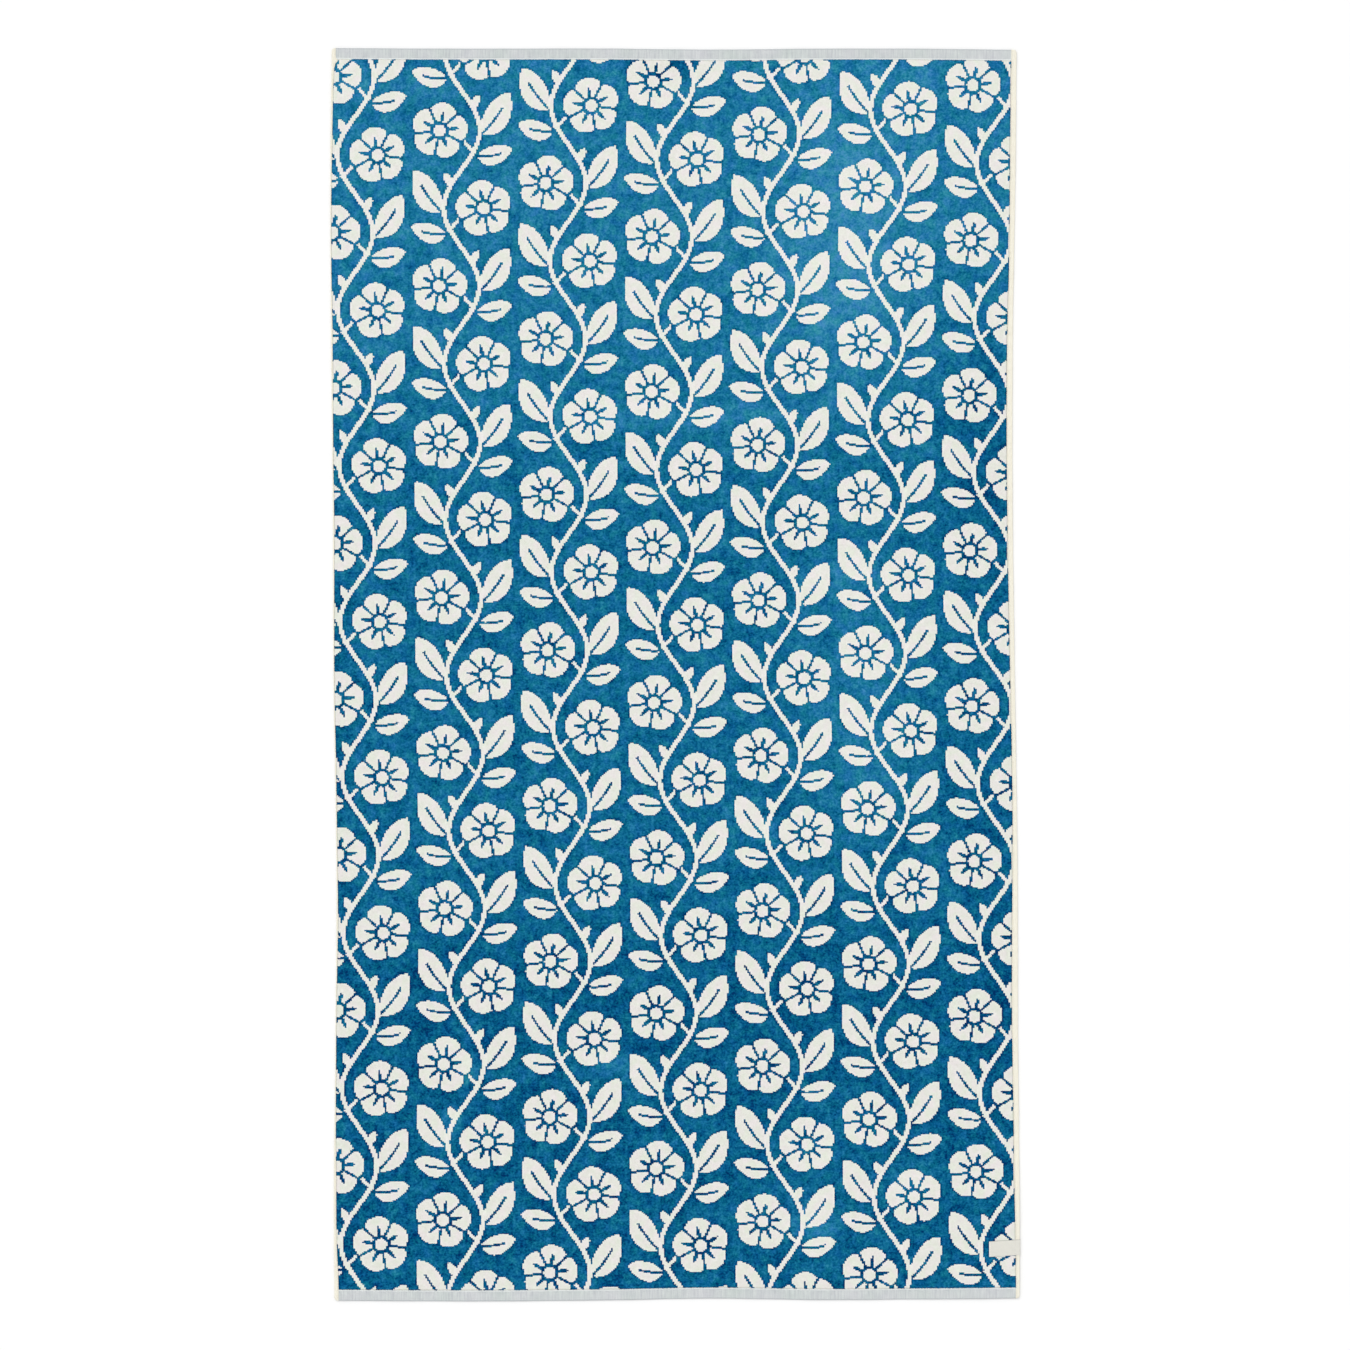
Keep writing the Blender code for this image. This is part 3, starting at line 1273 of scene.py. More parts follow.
@dataclass(frozen=True)
class TowelCloth:
    """The pile cloth: one closed sheet, level under hems and bands and full in the pile.

    Lines of points run beside its edges at the rim_turns, in degrees round the rim, and at the
    pile_lines, in millimetres in from a hem or band.
    """

    cloth: LaidCloth
    pile: float = 3.0 * MM
    shoulder: float = 1.5 * MM
    ground_top: float = 1.35 * MM
    ground_low: float = 0.55 * MM
    edge_in: float = 0.5 * MM
    rim: float = 0.25 * MM
    rim_turns: tuple[float, ...] = (0, 30, 60, 90)
    tucked: float = 0.2 * MM
    pile_lines: tuple[float, ...] = (0.1, 0.4, 0.8, 1.3, 2.0, 3.4, 6.0)
    turned_side: float = 10.5 * MM
    turned_end: float = 22 * MM
    turned_fade: float = 4 * MM
    columns: int = 130
    rows: int = 262

    def edge_lines(self, shows: Array) -> Array:
        """Ways in from an edge of the lines beside it: round the rim, under the turn and up the pile.

        Args:
            shows: How wide the hem or band shows, one to a line of points.

        Returns:
            The ways in, with the lines of points last.
        """
        rim = self.edge_in + self.rim * (1 - np.cos(np.radians(self.rim_turns)))
        under = np.array([0.5, 1.0])[:, None] * (shows - self.tucked - rim[-1]) + rim[-1]
        up_pile = np.array(self.pile_lines)[:, None] * MM + shows
        return np.concatenate([np.repeat(rim[:, None], shows.size, axis=1), under, up_pile])

    def flat_grid(self) -> tuple[Array, Array]:
        """Flat places of the sheet's points, finer beside its edges.

        Returns:
            Across and along, each with columns first.
        """
        end_lines = self.edge_lines(np.array([BAND_DEEP]))[:, 0]
        inner = np.linspace(-LENGTH / 2 + end_lines[-1], LENGTH / 2 - end_lines[-1], self.rows + 1)[1:-1]
        along = np.concatenate([-LENGTH / 2 + end_lines, inner, LENGTH / 2 - end_lines[::-1]])
        left = self.edge_lines(Side.LEFT.hem_shows(along)) - WIDTH / 2
        right = WIDTH / 2 - self.edge_lines(Side.RIGHT.hem_shows(along))[::-1]
        share = np.linspace(0, 1, self.columns + 1)[1:-1, None]
        across = np.concatenate([left, left[-1] + (right[0] - left[-1]) * share, right])
        return across, np.broadcast_to(along, across.shape)

    def heights(self, across: Array, along: Array) -> tuple[Array, Array]:
        """Heights of the sheet's two faces over its underside.

        The top goes from the ground's height to the pile's on a soft step past each hem and band. The
        bottom lifts over what is turned under. Both meet at the rim on a quarter circle.

        Args:
            across: Flat places across.
            along: Flat places along.

        Returns:
            Heights of the top and of the bottom.
        """
        in_left, in_right = WIDTH / 2 + across, WIDTH / 2 - across
        in_end = LENGTH / 2 - np.abs(along)
        past_left = in_left - Side.LEFT.hem_shows(along)
        past_right = in_right - Side.RIGHT.hem_shows(along)
        past = np.stack([past_left, past_right, in_end - BAND_DEEP])
        rise = soft_step(past / self.shoulder).prod(axis=0)
        top = self.ground_top + (self.pile - self.ground_top) * rise
        over_side = np.minimum(in_left, in_right) - self.turned_side
        level = soft_step(np.minimum(over_side, in_end - self.turned_end) / self.turned_fade)
        bottom = self.ground_low * (1 - level)
        inward = np.minimum(np.minimum(in_left, in_right), in_end) - self.edge_in
        round_off = np.sqrt(1 - (1 - np.clip(inward / self.rim, 0, 1)) ** 2)
        middle = (self.ground_top + self.ground_low) / 2
        return middle + (top - middle) * round_off, middle + (bottom - middle) * round_off

    def build(self) -> bpy.types.Object:
        """Build the sheet from its top grid and its bottom grid, which share their outer line.

        Returns:
            The sheet, with its nap_shading and upper values.
        """
        across, along = self.flat_grid()
        top, bottom = self.heights(across, along)
        count_i, count_j = across.shape
        inner = (slice(1, -1), slice(1, -1))
        points_top = self.cloth.points(across, along, top)
        points_low = self.cloth.points(across, along, bottom)[inner]
        points = np.concatenate([points_top.reshape(-1, 3), points_low.reshape(-1, 3)])

        corner_i, corner_j, numbers = grid_faces(count_i, count_j)
        low_numbers = np.arange(count_i * count_j).reshape(count_i, count_j)
        low_count = (count_i - 2) * (count_j - 2)
        low_numbers[inner] = count_i * count_j + np.arange(low_count).reshape(count_i - 2, count_j - 2)
        low_faces = low_numbers[corner_i, corner_j][:, ::-1]
        flat = np.stack([across + WIDTH / 2, along + LENGTH / 2], axis=-1)
        flat_top = flat[corner_i, corner_j]
        piece = mesh_object(
            "towel_cloth",
            points,
            np.concatenate([numbers, low_faces]),
            np.concatenate([flat_top, flat_top[:, ::-1]]),
        )
        # Painted light and shade of the pile's lay, kept on each point for the finish
        attribute(piece, "nap_shading", nap_shading_at(points[:, 0], points[:, 1]))
        attribute(piece, "upper", (np.arange(len(points)) < count_i * count_j).astype(float))
        return piece


def nap_shading_at(x: Array, y: Array) -> Array:
    """The painted light and shade of the pile's lay at a place: its course from end to end and the soft
    patches on it.
    """
    return curve_through(NAP_SHADING_ALONG, y, 1) / MM + ovals_at(NAP_SHADING, x, y)


def way_in(inward: Array, height: Array) -> Array:
    """Way in along a folded profile, so that a weave runs on round its edge and underneath.

    It is the second point's own way in, less the length of the profile from there.

    Args:
        inward: Ways in of the profile's points, down the first axis.
        height: Their heights.

    Returns:
        The way in at each point, under nought past the edge.
    """
    steps = np.hypot(np.diff(inward, axis=0), np.diff(height, axis=0))
    length = np.concatenate([0 * steps[:1], np.cumsum(steps, axis=0)])
    return inward[1] - (length - length[1])


def round_edge(rim: Union[float, Array], high: Union[float, Array]) -> tuple[Array, Array]:
    """Ways in and heights round a folded edge: a half oval from its top to its underside.

    Args:
        rim: How far in the oval starts.
        high: How high it stands.

    Returns:
        The ways in and the heights, with the oval's points down the first axis.
    """
    turns = np.radians([25, 50, 75, 100, 125, 150, 180])
    return np.multiply.outer(1 - np.sin(turns), rim), np.multiply.outer(1 + np.cos(turns), high / 2)


@dataclass(frozen=True)
class SideHem:
    """A side hem: the edge of the cloth turned under and sewn, puckered along its seam.

    Its top has points at the top_lines, as shares of the way from its rim to its inner edge, and its
    ends have sections at the end_lines, as shares of end_round.
    """

    cloth: LaidCloth
    side: Side
    thick: float = 2.25 * MM
    fold: float = 0.45 * MM
    under: float = 9.5 * MM
    under_seam: float = 6.2 * MM
    rim_in: float = 0.9 * MM
    rim_share: float = 0.6
    top_lines: tuple[float, ...] = (1.0, 0.94, 0.86, 0.78, 0.66, 0.45, 0.22, 0.0)
    tuck: float = 0.15 * MM
    crown: float = 0.12 * MM
    seam_in: float = 1.3 * MM
    seam_least: float = 0.5 * MM
    seam_dip: float = 0.3 * MM
    seam_wide: float = 0.55 * MM
    pull: float = 0.3
    pitch: float = 3.2 * MM
    per_stitch: int = 3
    inner_end: float = 1.2 * MM
    end_round: float = 0.9 * MM
    end_lines: tuple[float, ...] = (0.0, 0.1, 0.35, 0.75)
    clear_in: float = 0.4 * MM
    lump_scales: tuple[tuple[int, float], ...] = ((24, 0.1 * MM), (7, 0.05 * MM))
    seed: int = 11

    def seam(self, along: Array) -> Array:
        """How far in the seam runs."""
        return np.maximum(self.side.hem_shows(along) - self.seam_in, self.seam_least)

    def sections(self) -> Array:
        """Set out the hem's sections, closer together where its ends round off.

        Returns:
            Their places along.
        """
        inner = LENGTH / 2 - self.inner_end
        ends = LENGTH / 2 - np.array(self.end_lines) * self.end_round
        count = round(2 * inner / self.pitch * self.per_stitch)
        return np.concatenate([-ends, np.linspace(-inner, inner, count + 1), ends[::-1]])

    def height(self, inward: Array, along: Array) -> Array:
        """Height of the hem's top: slightly crowned, and drawn down at each stitch.

        The dip is a bell curve across the seam, deepened by a cosine at the stitches' pitch.

        Args:
            inward: Ways in from the edge.
            along: Places along.

        Returns:
            Heights over the underside.
        """
        wide = self.side.hem_shows(along)
        share = np.clip(inward / wide, 0, 1)
        crown = self.crown * 4 * share * (1 - share)
        dip = self.seam_dip * bell(inward - self.seam(along), self.seam_wide)
        pull = 1 - self.pull + self.pull * np.cos(2 * np.pi * along / self.pitch)
        return self.thick + crown - dip * pull

    def profile(self, along: Array) -> tuple[Array, Array]:
        """The hem's outer line: over the top, round the edge on a half oval, and in underneath.

        Args:
            along: Places along, one to a section.

        Returns:
            Ways in and heights, with the sections last.
        """
        wide = self.side.hem_shows(along)
        rim = np.minimum(self.rim_in, self.rim_share * wide)
        top_in = rim + (wide - rim) * np.array(self.top_lines)[:, None]
        top_high = self.height(top_in, along)
        tucked_in = (wide + self.tuck)[None]
        tucked_high = np.full_like(tucked_in, self.thick - self.fold - self.tuck)
        rim_in, rim_high = round_edge(rim, top_high[-1])
        under_in = np.stack([wide, wide + self.clear_in, np.full_like(wide, self.under)])
        under_high = 0 * under_in
        return (
            np.concatenate([tucked_in, top_in, rim_in, under_in]),
            np.concatenate([tucked_high, top_high, rim_high, under_high]),
        )

    def build(self) -> bpy.types.Object:
        """Build the hem by carrying its profile along the edge, with slow lumps on its top.

        Towards either end the section closes on its middle height along a quarter circle, and what is
        turned under past it stays flat.

        Returns:
            The hem.
        """
        along = self.sections()
        inward, height = self.profile(along)
        from_seam = way_in(inward, height) - self.seam(along)
        lumpy = lumps(len(along), self.lump_scales, self.seed)
        upper = height > self.thick / 2
        height = height + np.where(upper & (inward < self.side.hem_shows(along)), lumpy, 0)
        to_end = np.clip((LENGTH / 2 - np.abs(along)) / self.end_round, 0, 1)
        past = ~upper & (inward > self.side.hem_shows(along) + self.clear_in / 2)
        closing = np.where(past, 0, self.thick / 2)
        height = closing + (height - closing) * np.sqrt(1 - (1 - to_end) ** 2)
        across = self.side.value * (WIDTH / 2 - inward)
        points = self.cloth.points(across, np.broadcast_to(along, across.shape), height)
        name = f"{self.side.name.lower()}_hem"
        piece = grid_object(name, points, (along, from_seam), turned=self.side is Side.LEFT)
        thicken(piece, self.fold, -1.0)
        return piece


@dataclass(frozen=True)
class EndBand:
    """A flat woven band across one end, turned under along its outer fold.

    Its face and what is turned under have points at the face_lines and the under_lines, in millimetres
    in from the fold.
    """

    cloth: LaidCloth
    end: End
    thick: float = 1.75 * MM
    fold: float = 0.4 * MM
    rim_in: float = 0.9 * MM
    tuck: float = 0.5 * MM
    column: float = 0.6 * MM
    face_lines: tuple[float, ...] = (15.5, 14.6, 12, 9, 6, 4, 3.1, 2.6, 2.1, 1.5, 0.9)
    under_lines: tuple[float, ...] = (4, 12, 21)
    rib_scales: tuple[tuple[int, float], ...] = ((3, 0.07 * MM), (40, 0.1 * MM))
    rib_fade: float = 0.6 * MM
    groove_in: float = 2.6 * MM
    groove_wide: float = 0.5 * MM
    groove_deep: float = 0.16 * MM
    over_hem: float = 0.5 * MM
    hem_under: float = 9.5 * MM
    hem_fade: float = 2 * MM
    seed: int = 31

    def profile(self) -> tuple[Array, Array]:
        """The band's outer line: out from under the pile, flat to the fold's groove, round and under.

        Returns:
            Ways in and heights.
        """
        flat_in = np.array(self.face_lines) * MM
        flat_high = self.thick - self.groove_deep * bell(flat_in - self.groove_in, self.groove_wide)
        rim_in, rim_high = round_edge(self.rim_in, self.thick)
        under_in = np.array(self.under_lines) * MM
        inward = np.concatenate([[BAND_DEEP + self.tuck], flat_in, rim_in, under_in])
        height = np.concatenate([[self.thick - self.fold], flat_high, rim_high, 0 * under_in])
        return inward, height

    def build(self) -> bpy.types.Object:
        """Build the band by carrying its profile from hem to hem, with uneven ribs up its face.

        Underneath, it stands on the hems where they are turned under.

        Returns:
            The band.
        """
        inward, height = self.profile()
        along_line = self.end.value * (LENGTH / 2 - inward)
        from_left = -WIDTH / 2 + Side.LEFT.hem_shows(along_line) - self.tuck
        to_right = WIDTH / 2 - Side.RIGHT.hem_shows(along_line) + self.tuck
        count = round(WIDTH / self.column)
        share = np.linspace(0, 1, count + 1)
        across = from_left[:, None] + (to_right - from_left)[:, None] * share
        along = np.broadcast_to(along_line[:, None], across.shape)
        ribs = lumps(count + 1, self.rib_scales, self.seed)
        face_on = soft_step((height - self.thick / 2) / self.rib_fade)
        past_hem = soft_step((WIDTH / 2 - np.abs(across) - self.hem_under) / self.hem_fade)
        high = np.maximum(height[:, None] + face_on[:, None] * ribs, self.over_hem * (1 - past_hem))
        points = self.cloth.points(across, along, high)
        flat = (across + WIDTH / 2, way_in(inward, height)[:, None])
        name = f"{self.end.name.lower()}_band"
        piece = grid_object(name, points, flat, turned=self.end is End.TOP)
        thicken(piece, self.fold, -1.0)
        return piece


def row_faces(copies: int, rings: int, sides: int) -> tuple[Array, Array, Array]:
    """Corners of many small closed tubes that lie in one array.

    Args:
        copies: How many tubes.
        rings: Rings of each.
        sides: Points in each ring.

    Returns:
        Faces of four corners between the rings, the first rings and the last rings, as point numbers.
    """
    ring, side = np.meshgrid(np.arange(rings - 1), np.arange(sides), indexing="ij")
    ring, side = ring.ravel(), side.ravel()
    after = (side + 1) % sides
    walls = np.stack(
        [ring * sides + side, ring * sides + after, (ring + 1) * sides + after, (ring + 1) * sides + side],
        axis=-1,
    )
    starts = np.arange(copies)[:, None, None] * rings * sides
    first = np.arange(sides)[::-1][None]
    last = (rings - 1) * sides + np.arange(sides)[None]
    return (
        (walls[None] + starts).reshape(-1, 4),
        (first[None] + starts).reshape(-1, sides),
        (last[None] + starts).reshape(-1, sides),
    )


@dataclass(frozen=True)
class PileEdge:
    """Tufts of pile that stand along its edge and lean out a little over hems and bands.

    Each tuft's lean, sway, height and shift are drawn between the two ends of a range.
    """

    cloth: LaidCloth
    pitch: float = 0.9 * MM
    set_in: float = 0.75 * MM
    root: float = 1.2 * MM
    tip: float = 3.0 * MM
    radius: float = 0.62 * MM
    lean: float = 0.55 * MM
    leans: tuple[float, float] = (-0.3, 1.3)
    sways: tuple[float, float] = (-0.8, 0.8)
    heights: tuple[float, float] = (0.86, 1.08)
    shifts: tuple[float, float] = (-0.3 * MM, 0.3 * MM)
    ring_heights: tuple[float, ...] = (0.0, 0.55, 1.0)
    ring_sizes: tuple[float, ...] = (1.0, 0.9, 0.45)
    sides: int = 4
    seed: int = 53

    def line(self) -> tuple[Array, Array, Array, Array]:
        """The pile's edge, side by side and end by end, left out where the label presses on it.

        Returns:
            Across and along of the roots, and the outward direction at each.
        """
        pieces = []
        inner = LENGTH / 2 - BAND_DEEP - self.set_in
        along = np.arange(-inner, inner, self.pitch)
        for side in Side:
            if side is Side.RIGHT:
                along = along[np.abs(along - LABEL_ALONG) > LABEL_TALL / 2]
            across = side.value * (WIDTH / 2 - side.hem_shows(along) - self.set_in)
            pieces.append((across, along, np.full_like(along, side.value), 0 * along))
        for end in End:
            at = np.full(1, end.value * inner)
            start = -WIDTH / 2 + Side.LEFT.hem_shows(at)[0] + self.set_in
            stop = WIDTH / 2 - Side.RIGHT.hem_shows(at)[0] - self.set_in
            across = np.arange(start, stop, self.pitch)
            pieces.append((across, 0 * across + at, 0 * across, np.full_like(across, end.value)))
        return tuple(np.concatenate(values) for values in zip(*pieces))

    def build(self) -> bpy.types.Object:
        """Build the tufts: each a small square tube that narrows and leans as the square of its height.

        Returns:
            All tufts as one piece, with nap_shading and upper values of the pile under them.
        """
        across, along, out_x, out_y = self.line()
        draw = np.random.default_rng(self.seed)
        count = len(across)
        lean = self.lean * draw.uniform(*self.leans, count)
        sway = self.lean * draw.uniform(*self.sways, count)
        tall = (self.tip - self.root) * draw.uniform(*self.heights, count)
        spin = draw.uniform(0, np.pi / 2, count)
        shift = draw.uniform(*self.shifts, count)
        up = np.array(self.ring_heights)[None, :, None]
        size = self.radius * np.array(self.ring_sizes)[None, :, None]
        angle = np.arange(self.sides)[None, None, :] * np.pi / 2 + spin[:, None, None]
        bow = lean[:, None, None] * up**2 + shift[:, None, None]
        drift = sway[:, None, None] * up**2
        out_x, out_y = out_x[:, None, None], out_y[:, None, None]
        u = across[:, None, None] + out_x * bow - out_y * drift + size * np.cos(angle)
        v = along[:, None, None] + out_y * bow + out_x * drift + size * np.sin(angle)
        high = self.root + tall[:, None, None] * up + 0 * u
        points = self.cloth.points(u, v, high).reshape(-1, 3)
        rings = len(self.ring_heights)
        walls, first, last = row_faces(count, rings, self.sides)
        faces = np.concatenate([walls, first, last])
        roots = np.stack([across + WIDTH / 2, along + LENGTH / 2], axis=-1)
        flat = np.repeat(roots, rings * self.sides, axis=0)[faces]
        piece = mesh_object("pile_edge", points, faces, flat)
        # The same painted light and shade of the pile's lay, on the tufts
        attribute(piece, "nap_shading", nap_shading_at(points[:, 0], points[:, 1]))
        attribute(piece, "upper", np.ones(len(points)))
        return piece


@dataclass(frozen=True)
class Stitches:
    """A row of stitches that lie half sunk: each a slim capsule along the seam."""

    length: float = 2.5 * MM
    wide: float = 0.5 * MM
    high: float = 0.34 * MM
    blunt: float = 0.06
    rings: int = 5
    sides: int = 6

    def build(self, name: str, middles: Array, ways: Array) -> bpy.types.Object:
        """Build one piece of many stitches.

        A ring at t from -1 to 1 stands at t along the stitch, with a radius of root(1 - t squared).

        Args:
            name: The piece's name.
            middles: The middle point of each stitch.
            ways: The direction of each stitch, of length 1.

        Returns:
            The stitches.
        """
        t = np.cos(np.pi * np.linspace(1 - self.blunt, self.blunt, self.rings))
        swell = np.sqrt(1 - t**2)
        angle = np.arange(self.sides) * 2 * np.pi / self.sides
        up = np.array([0.0, 0.0, 1.0])
        beside = np.cross(up, ways)
        beside = beside / np.linalg.norm(beside, axis=1)[:, None]
        rise = np.cross(ways, beside)
        along = t[None, :, None, None] * ways[:, None, None, :] * self.length / 2
        out = np.cos(angle)[None, None, :, None] * beside[:, None, None, :] * self.wide / 2
        lift = np.sin(angle)[None, None, :, None] * rise[:, None, None, :] * self.high / 2
        points = middles[:, None, None, :] + along + (out + lift) * swell[None, :, None, None]
        walls, first, last = row_faces(len(middles), self.rings, self.sides)
        split = [np.concatenate([cap[:, [0, 1, 2, 3]], cap[:, [0, 3, 4, 5]]]) for cap in (first, last)]
        faces = np.concatenate([walls, *split])
        way = np.broadcast_to((t * self.length / 2)[None, :, None], points.shape[:3])
        turn = np.broadcast_to(angle[None, None, :] * MM, points.shape[:3])
        flat = np.stack([way, turn], axis=-1).reshape(-1, 2)[faces]
        return mesh_object(name, points.reshape(-1, 3), faces, flat)


def directions(points: Array) -> Array:
    """Directions of length 1 along a line of points, by central differences."""
    steps = np.gradient(points, axis=0)
    return steps / np.linalg.norm(steps, axis=1)[:, None]


@dataclass(frozen=True)
class SideLabel:
    """The label: blank tape folded round the right hem, its front leaf a little curled and askew.

    It is sewn along two lines of its grid's points, one near its free end and one at the hem's seam.
    """

    thick: float = 0.4 * MM
    under: float = 11 * MM
    turn: float = 3.4
    gap: float = 0.43 * MM
    curl: float = 0.7 * MM
    ripple: float = 0.08 * MM
    step_in: float = 10 * MM
    step_long: float = 5 * MM
    rim: float = 0.7 * MM
    over_pile: float = 3.0 * MM
    over_hem: float = 2.2 * MM
    free_long: float = 20 * MM
    sag: float = 0.25 * MM
    rows: int = 25
    leaf_lines: int = 24
    step_lines: int = 9
    turn_lines: int = 7
    sewn_lines: tuple[int, int] = (1, 29)

    def edge(self) -> float:
        """X of the towel's right edge at the label."""
        stand_out = curve_through(SIDE_EDGES, np.array([LABEL_ALONG]), 2)
        return float(WIDTH / 2 + stand_out[0])

    def path(self) -> tuple[Array, Array]:
        """The tape's middle line: front leaf, step down to the hem, round the edge and the under leaf.

        The step is a soft step and the turn is two quarter circles with a short upright between them.

        Returns:
            X and Z of its points.
        """
        edge, clear = self.edge(), self.gap + self.thick / 2
        rise = self.gap + self.thick
        high_pile, high_hem = rise + self.over_pile + clear, rise + self.over_hem + clear
        free_end, step_from = edge - LABEL_REACH, edge - self.step_in
        t = np.linspace(0, 1, self.leaf_lines + 1)[:-1]
        leaf_x = free_end + (step_from - free_end) * t
        leaf_z = high_pile + self.curl * (1 - t) ** 3 + self.ripple * np.sin(9 * t)
        s = np.linspace(0, 1, self.step_lines)
        step_x = step_from + self.step_long * s
        step_z = high_pile + (high_hem - high_pile) * soft_step(s)
        bend, turn_x = self.rim + clear, edge - self.rim
        angles = np.radians(np.linspace(90, 0, self.turn_lines))
        out, up = bend * np.cos(angles), bend * np.sin(angles)
        under_x = np.linspace(turn_x, edge - self.under, self.turn_lines)[1:]
        under_z = np.full_like(under_x, self.thick / 2)
        x = np.concatenate([leaf_x, step_x, turn_x + out, turn_x + out[::-1], under_x])
        upper_z, lower_z = high_hem - bend + up, rise + self.rim - up[::-1]
        return x, np.concatenate([leaf_z, step_z, upper_z, lower_z, under_z])

    def points(self) -> tuple[Array, Array, Array]:
        """Points of the tape's middle surface, which slants with its turn and sags a little at mid height.

        Returns:
            The points, the way along the tape and the way across it.
        """
        x, z = self.path()
        way = np.concatenate([[0], np.cumsum(np.hypot(np.diff(x), np.diff(z)))])
        beside = np.linspace(-0.5, 0.5, self.rows) * LABEL_TALL
        slant = math.tan(math.radians(self.turn))
        y = LABEL_ALONG + beside[None] + (x - self.edge())[:, None] * slant
        free = np.clip(1 - way / self.free_long, 0, 1)[:, None] ** 2
        lifted = z[:, None] + free * self.sag * np.cos(beside / LABEL_TALL * 9)[None]
        points = np.stack([np.broadcast_to(x[:, None], y.shape), y, lifted + 0 * y], axis=-1)
        return points, way[:, None], beside[None]

    def build(self) -> bpy.types.Object:
        """Build the tape and give it its thickness both ways.

        Returns:
            The label.
        """
        points, way, beside = self.points()
        piece = grid_object("blank_label", points, (way, beside))
        thicken(piece, self.thick, 0.0)
        return piece

    def sewn_rows(self) -> tuple[Array, Array]:
        """Stitches that hold the label: one row near its free end and one along the hem's seam.

        Returns:
            Their middles and directions.
        """
        points, _, _ = self.points()
        middles, ways = [], []
        for column in self.sewn_lines:
            line = points[column, 3:-3:3] + np.array([0, 0, self.thick / 2])
            middles.append(line)
            ways.append(directions(line))
        return np.concatenate(middles), np.concatenate(ways)


@dataclass(frozen=True)
class HemSewing:
    """The sewing of one hem: a stitch at every pitch along its seam, seen from above and from below."""

    hem: SideHem
    from_end: float = 3 * MM
    proud: float = 0.05 * MM
    least_hem: float = 2.8 * MM
    clear_label: float = 1.5 * MM

    def build(self) -> bpy.types.Object:
        """Build the stitches: none above where the pile covers the seam, and none at all at the label.

        Returns:
            The stitches.
        """
        hem, inner = self.hem, LENGTH / 2 - self.from_end
        along = np.arange(-inner, inner, hem.pitch) + hem.pitch / 2
        seam = hem.seam(along)
        below_in = np.maximum(seam, hem.under_seam)
        high = hem.height(seam, along) + self.proud
        above = hem.cloth.points(hem.side.value * (WIDTH / 2 - seam), along, high)
        below = hem.cloth.points(hem.side.value * (WIDTH / 2 - below_in), along, 0 * along + self.proud)
        bare = np.full(along.shape, True)
        if hem.side is Side.RIGHT:
            bare = np.abs(above[:, 1] - LABEL_ALONG) > LABEL_TALL / 2 + self.clear_label
        seen = bare & (hem.side.hem_shows(along) > self.least_hem)
        return Stitches().build(
            f"{hem.side.name.lower()}_hem_stitches",
            np.concatenate([above[seen], below[bare]]),
            np.concatenate([directions(above)[seen], directions(below)[bare]]),
        )


@dataclass(frozen=True)
class Studio:
    """Plain floor, soft light from all round with a broad lamp, and the camera straight above."""

    floor_size: float = 60.0
    floor_lines: int = 9
    floor_drop: float = 0.3 * MM
    span: float = 1.908
    lens: float = 85.0
    sensor: float = 36.0
    centre: tuple[float, float] = (-0.25 * MM, -0.46 * MM)
    sky: float = 0.875
    sun: float = 0.95
    sun_angle: float = 35.0
    sun_from: tuple[float, float, float] = (-0.45, 0.75, 1.0)

    def floor(self) -> None:
        """Lay the floor just under the towel, as a grid of level points."""
        line = np.linspace(-self.floor_size / 2, self.floor_size / 2, self.floor_lines)
        x, y = np.meshgrid(line, line, indexing="ij")
        points = np.stack([x, y, np.full_like(x, -self.floor_drop)], axis=-1)
        piece = grid_object("floor", points, (x, y))
        piece.data.materials.append(FloorFinish().material())
        piece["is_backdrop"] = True

    def lights(self) -> None:
        """Light the scene: an even pale sky and one broad soft sun."""
        world = bpy.data.worlds.new("studio")
        world.use_nodes = True
        background = world.node_tree.nodes["Background"]
        background.inputs["Color"].default_value = (1.0, 1.0, 1.0, 1.0)
        background.inputs["Strength"].default_value = self.sky
        bpy.context.scene.world = world
        bpy.context.scene.view_settings.view_transform = "Standard"
        lamp = bpy.data.lights.new("broad_lamp", "SUN")
        lamp.energy = self.sun
        lamp.angle = math.radians(self.sun_angle)
        holder = bpy.data.objects.new("broad_lamp", lamp)
        bpy.context.scene.collection.objects.link(holder)
        x, y, z = self.sun_from
        holder.rotation_euler = (math.atan2(math.hypot(x, y), z), 0.0, math.atan2(y, x) + math.pi / 2)

    def camera(self) -> None:
        """Set the camera straight above the towel's middle, so that the view is span wide."""
        data = bpy.data.cameras.new("camera")
        data.lens = self.lens
        data.sensor_width = self.sensor
        data.clip_end = 100.0
        camera = bpy.data.objects.new("camera", data)
        bpy.context.scene.collection.objects.link(camera)
        camera.location = (*self.centre, self.span * self.lens / self.sensor)
        bpy.context.scene.camera = camera


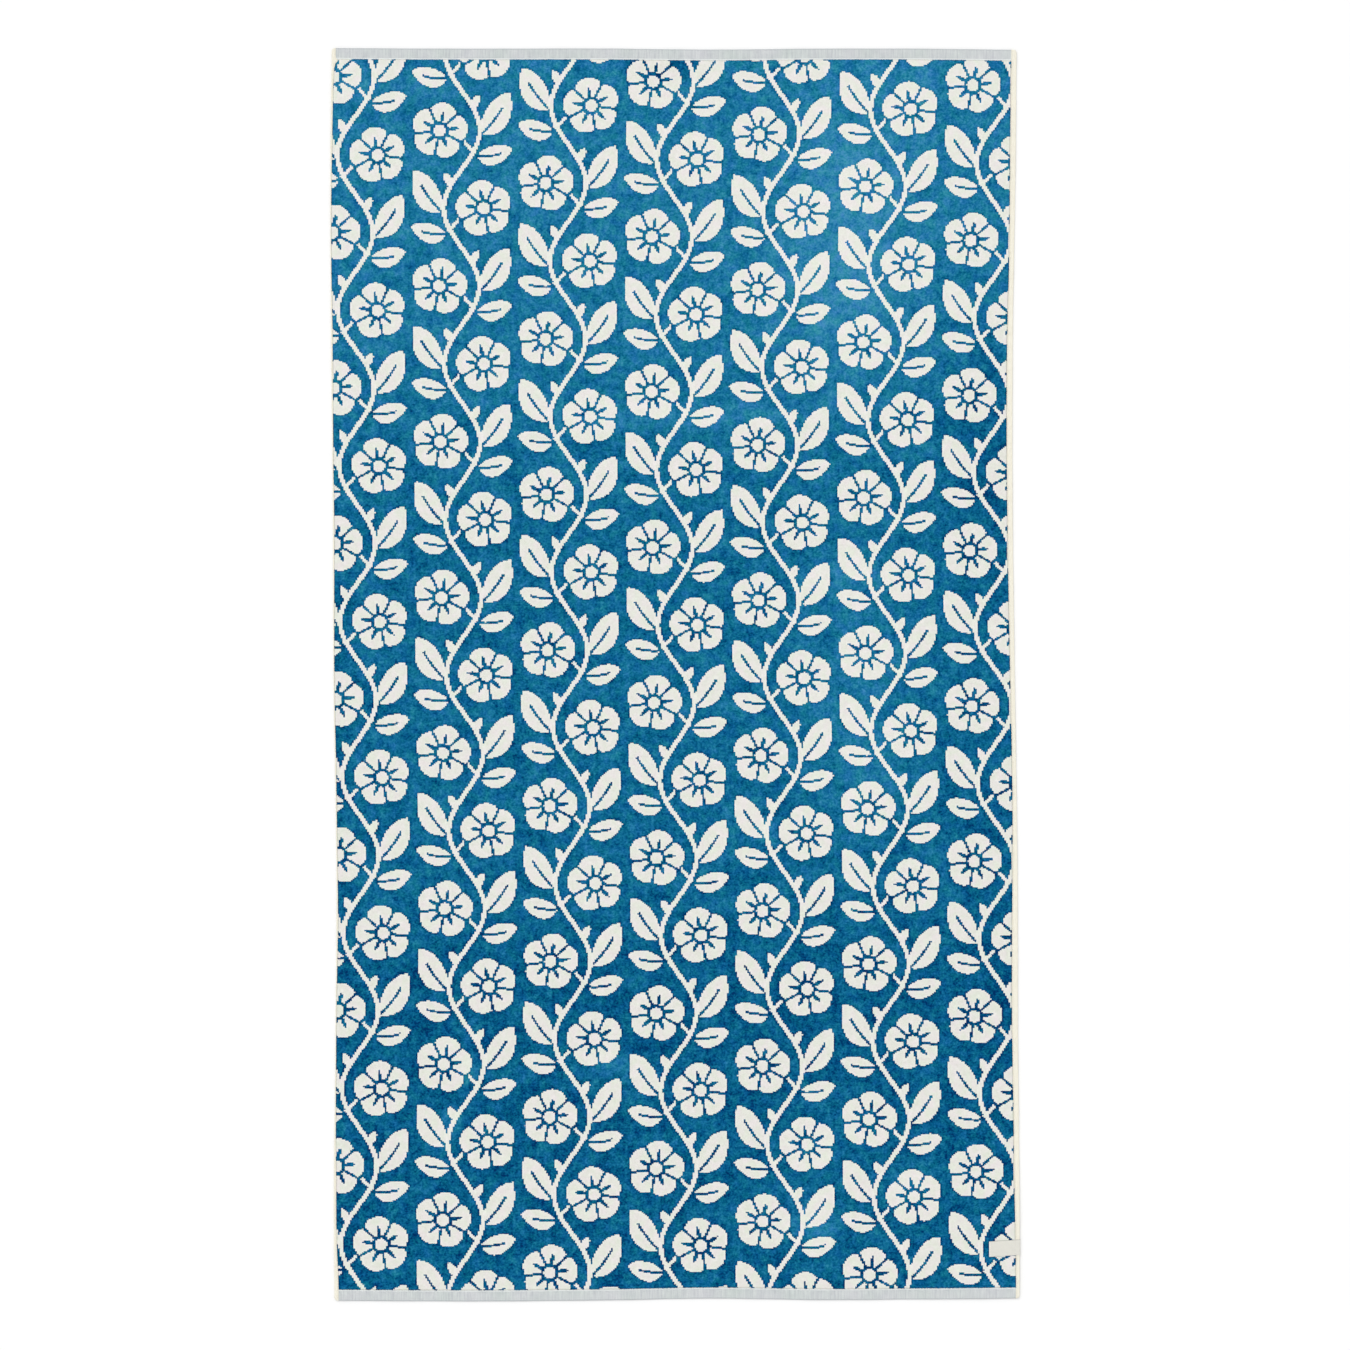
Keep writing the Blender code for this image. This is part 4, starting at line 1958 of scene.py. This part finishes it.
def dress(
    piece: bpy.types.Object,
    material: bpy.types.Material,
    node: str = "",
) -> bpy.types.Object:
    """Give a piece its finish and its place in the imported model.

    Args:
        piece: The piece.
        material: Its finish.
        node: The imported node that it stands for, if any.

    Returns:
        The piece.
    """
    piece.data.materials.append(material)
    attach(piece, "root")
    if node:
        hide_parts(node)
    LOG.info("%s: %d faces", piece.name, len(piece.data.polygons))
    return piece


def build_towel() -> list[bpy.types.Object]:
    """Build and dress every piece of the towel.

    Returns:
        The pieces, the cloth first.
    """
    cloth = LaidCloth()
    pile, band, hem = PileFinish().material(), BandFinish().material(), HemFinish().material()
    cream_thread = ThreadFinish(name="hem_thread").material()
    # The label thread's second colour is the painted shade in its twist
    grey, grey_shade = linear(232, 229, 225), linear(206, 202, 198)
    grey_thread = ThreadFinish(name="label_thread", colour=grey, shade=grey_shade).material()
    hems = [SideHem(cloth, Side.LEFT, seed=11), SideHem(cloth, Side.RIGHT, seed=17)]
    bands = [EndBand(cloth, End.BOTTOM, seed=31), EndBand(cloth, End.TOP, seed=37)]

    sheet = dress(TowelCloth(cloth).build(), pile, node="towel_sheet")
    pieces = [dress(PileEdge(cloth).build(), pile)]
    pieces += [dress(one.build(), hem) for one in hems]
    pieces += [dress(one.build(), band) for one in bands]
    pieces += [dress(HemSewing(one).build(), cream_thread) for one in hems]
    label = SideLabel()
    tape = dress(label.build(), LabelFinish().material(), "side_label")
    middles, ways = label.sewn_rows()
    sewn = Stitches(length=1.7 * MM, wide=0.4 * MM, high=0.26 * MM).build("label_stitches", middles, ways)
    pieces += [tape, dress(sewn, grey_thread)]
    return [sheet, *pieces]


def main() -> None:
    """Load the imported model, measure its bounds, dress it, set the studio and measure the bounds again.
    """
    logging.basicConfig(level=logging.INFO, format="%(message)s")
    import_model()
    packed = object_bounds()
    studio = Studio()
    studio.camera()
    studio.lights()
    studio.floor()
    pieces = build_towel()
    LOG.info("%d pieces", len(pieces))
    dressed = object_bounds()
    [[list(corner) for corner in box] for box in (packed, dressed)]


if __name__ == "__main__":
    main()
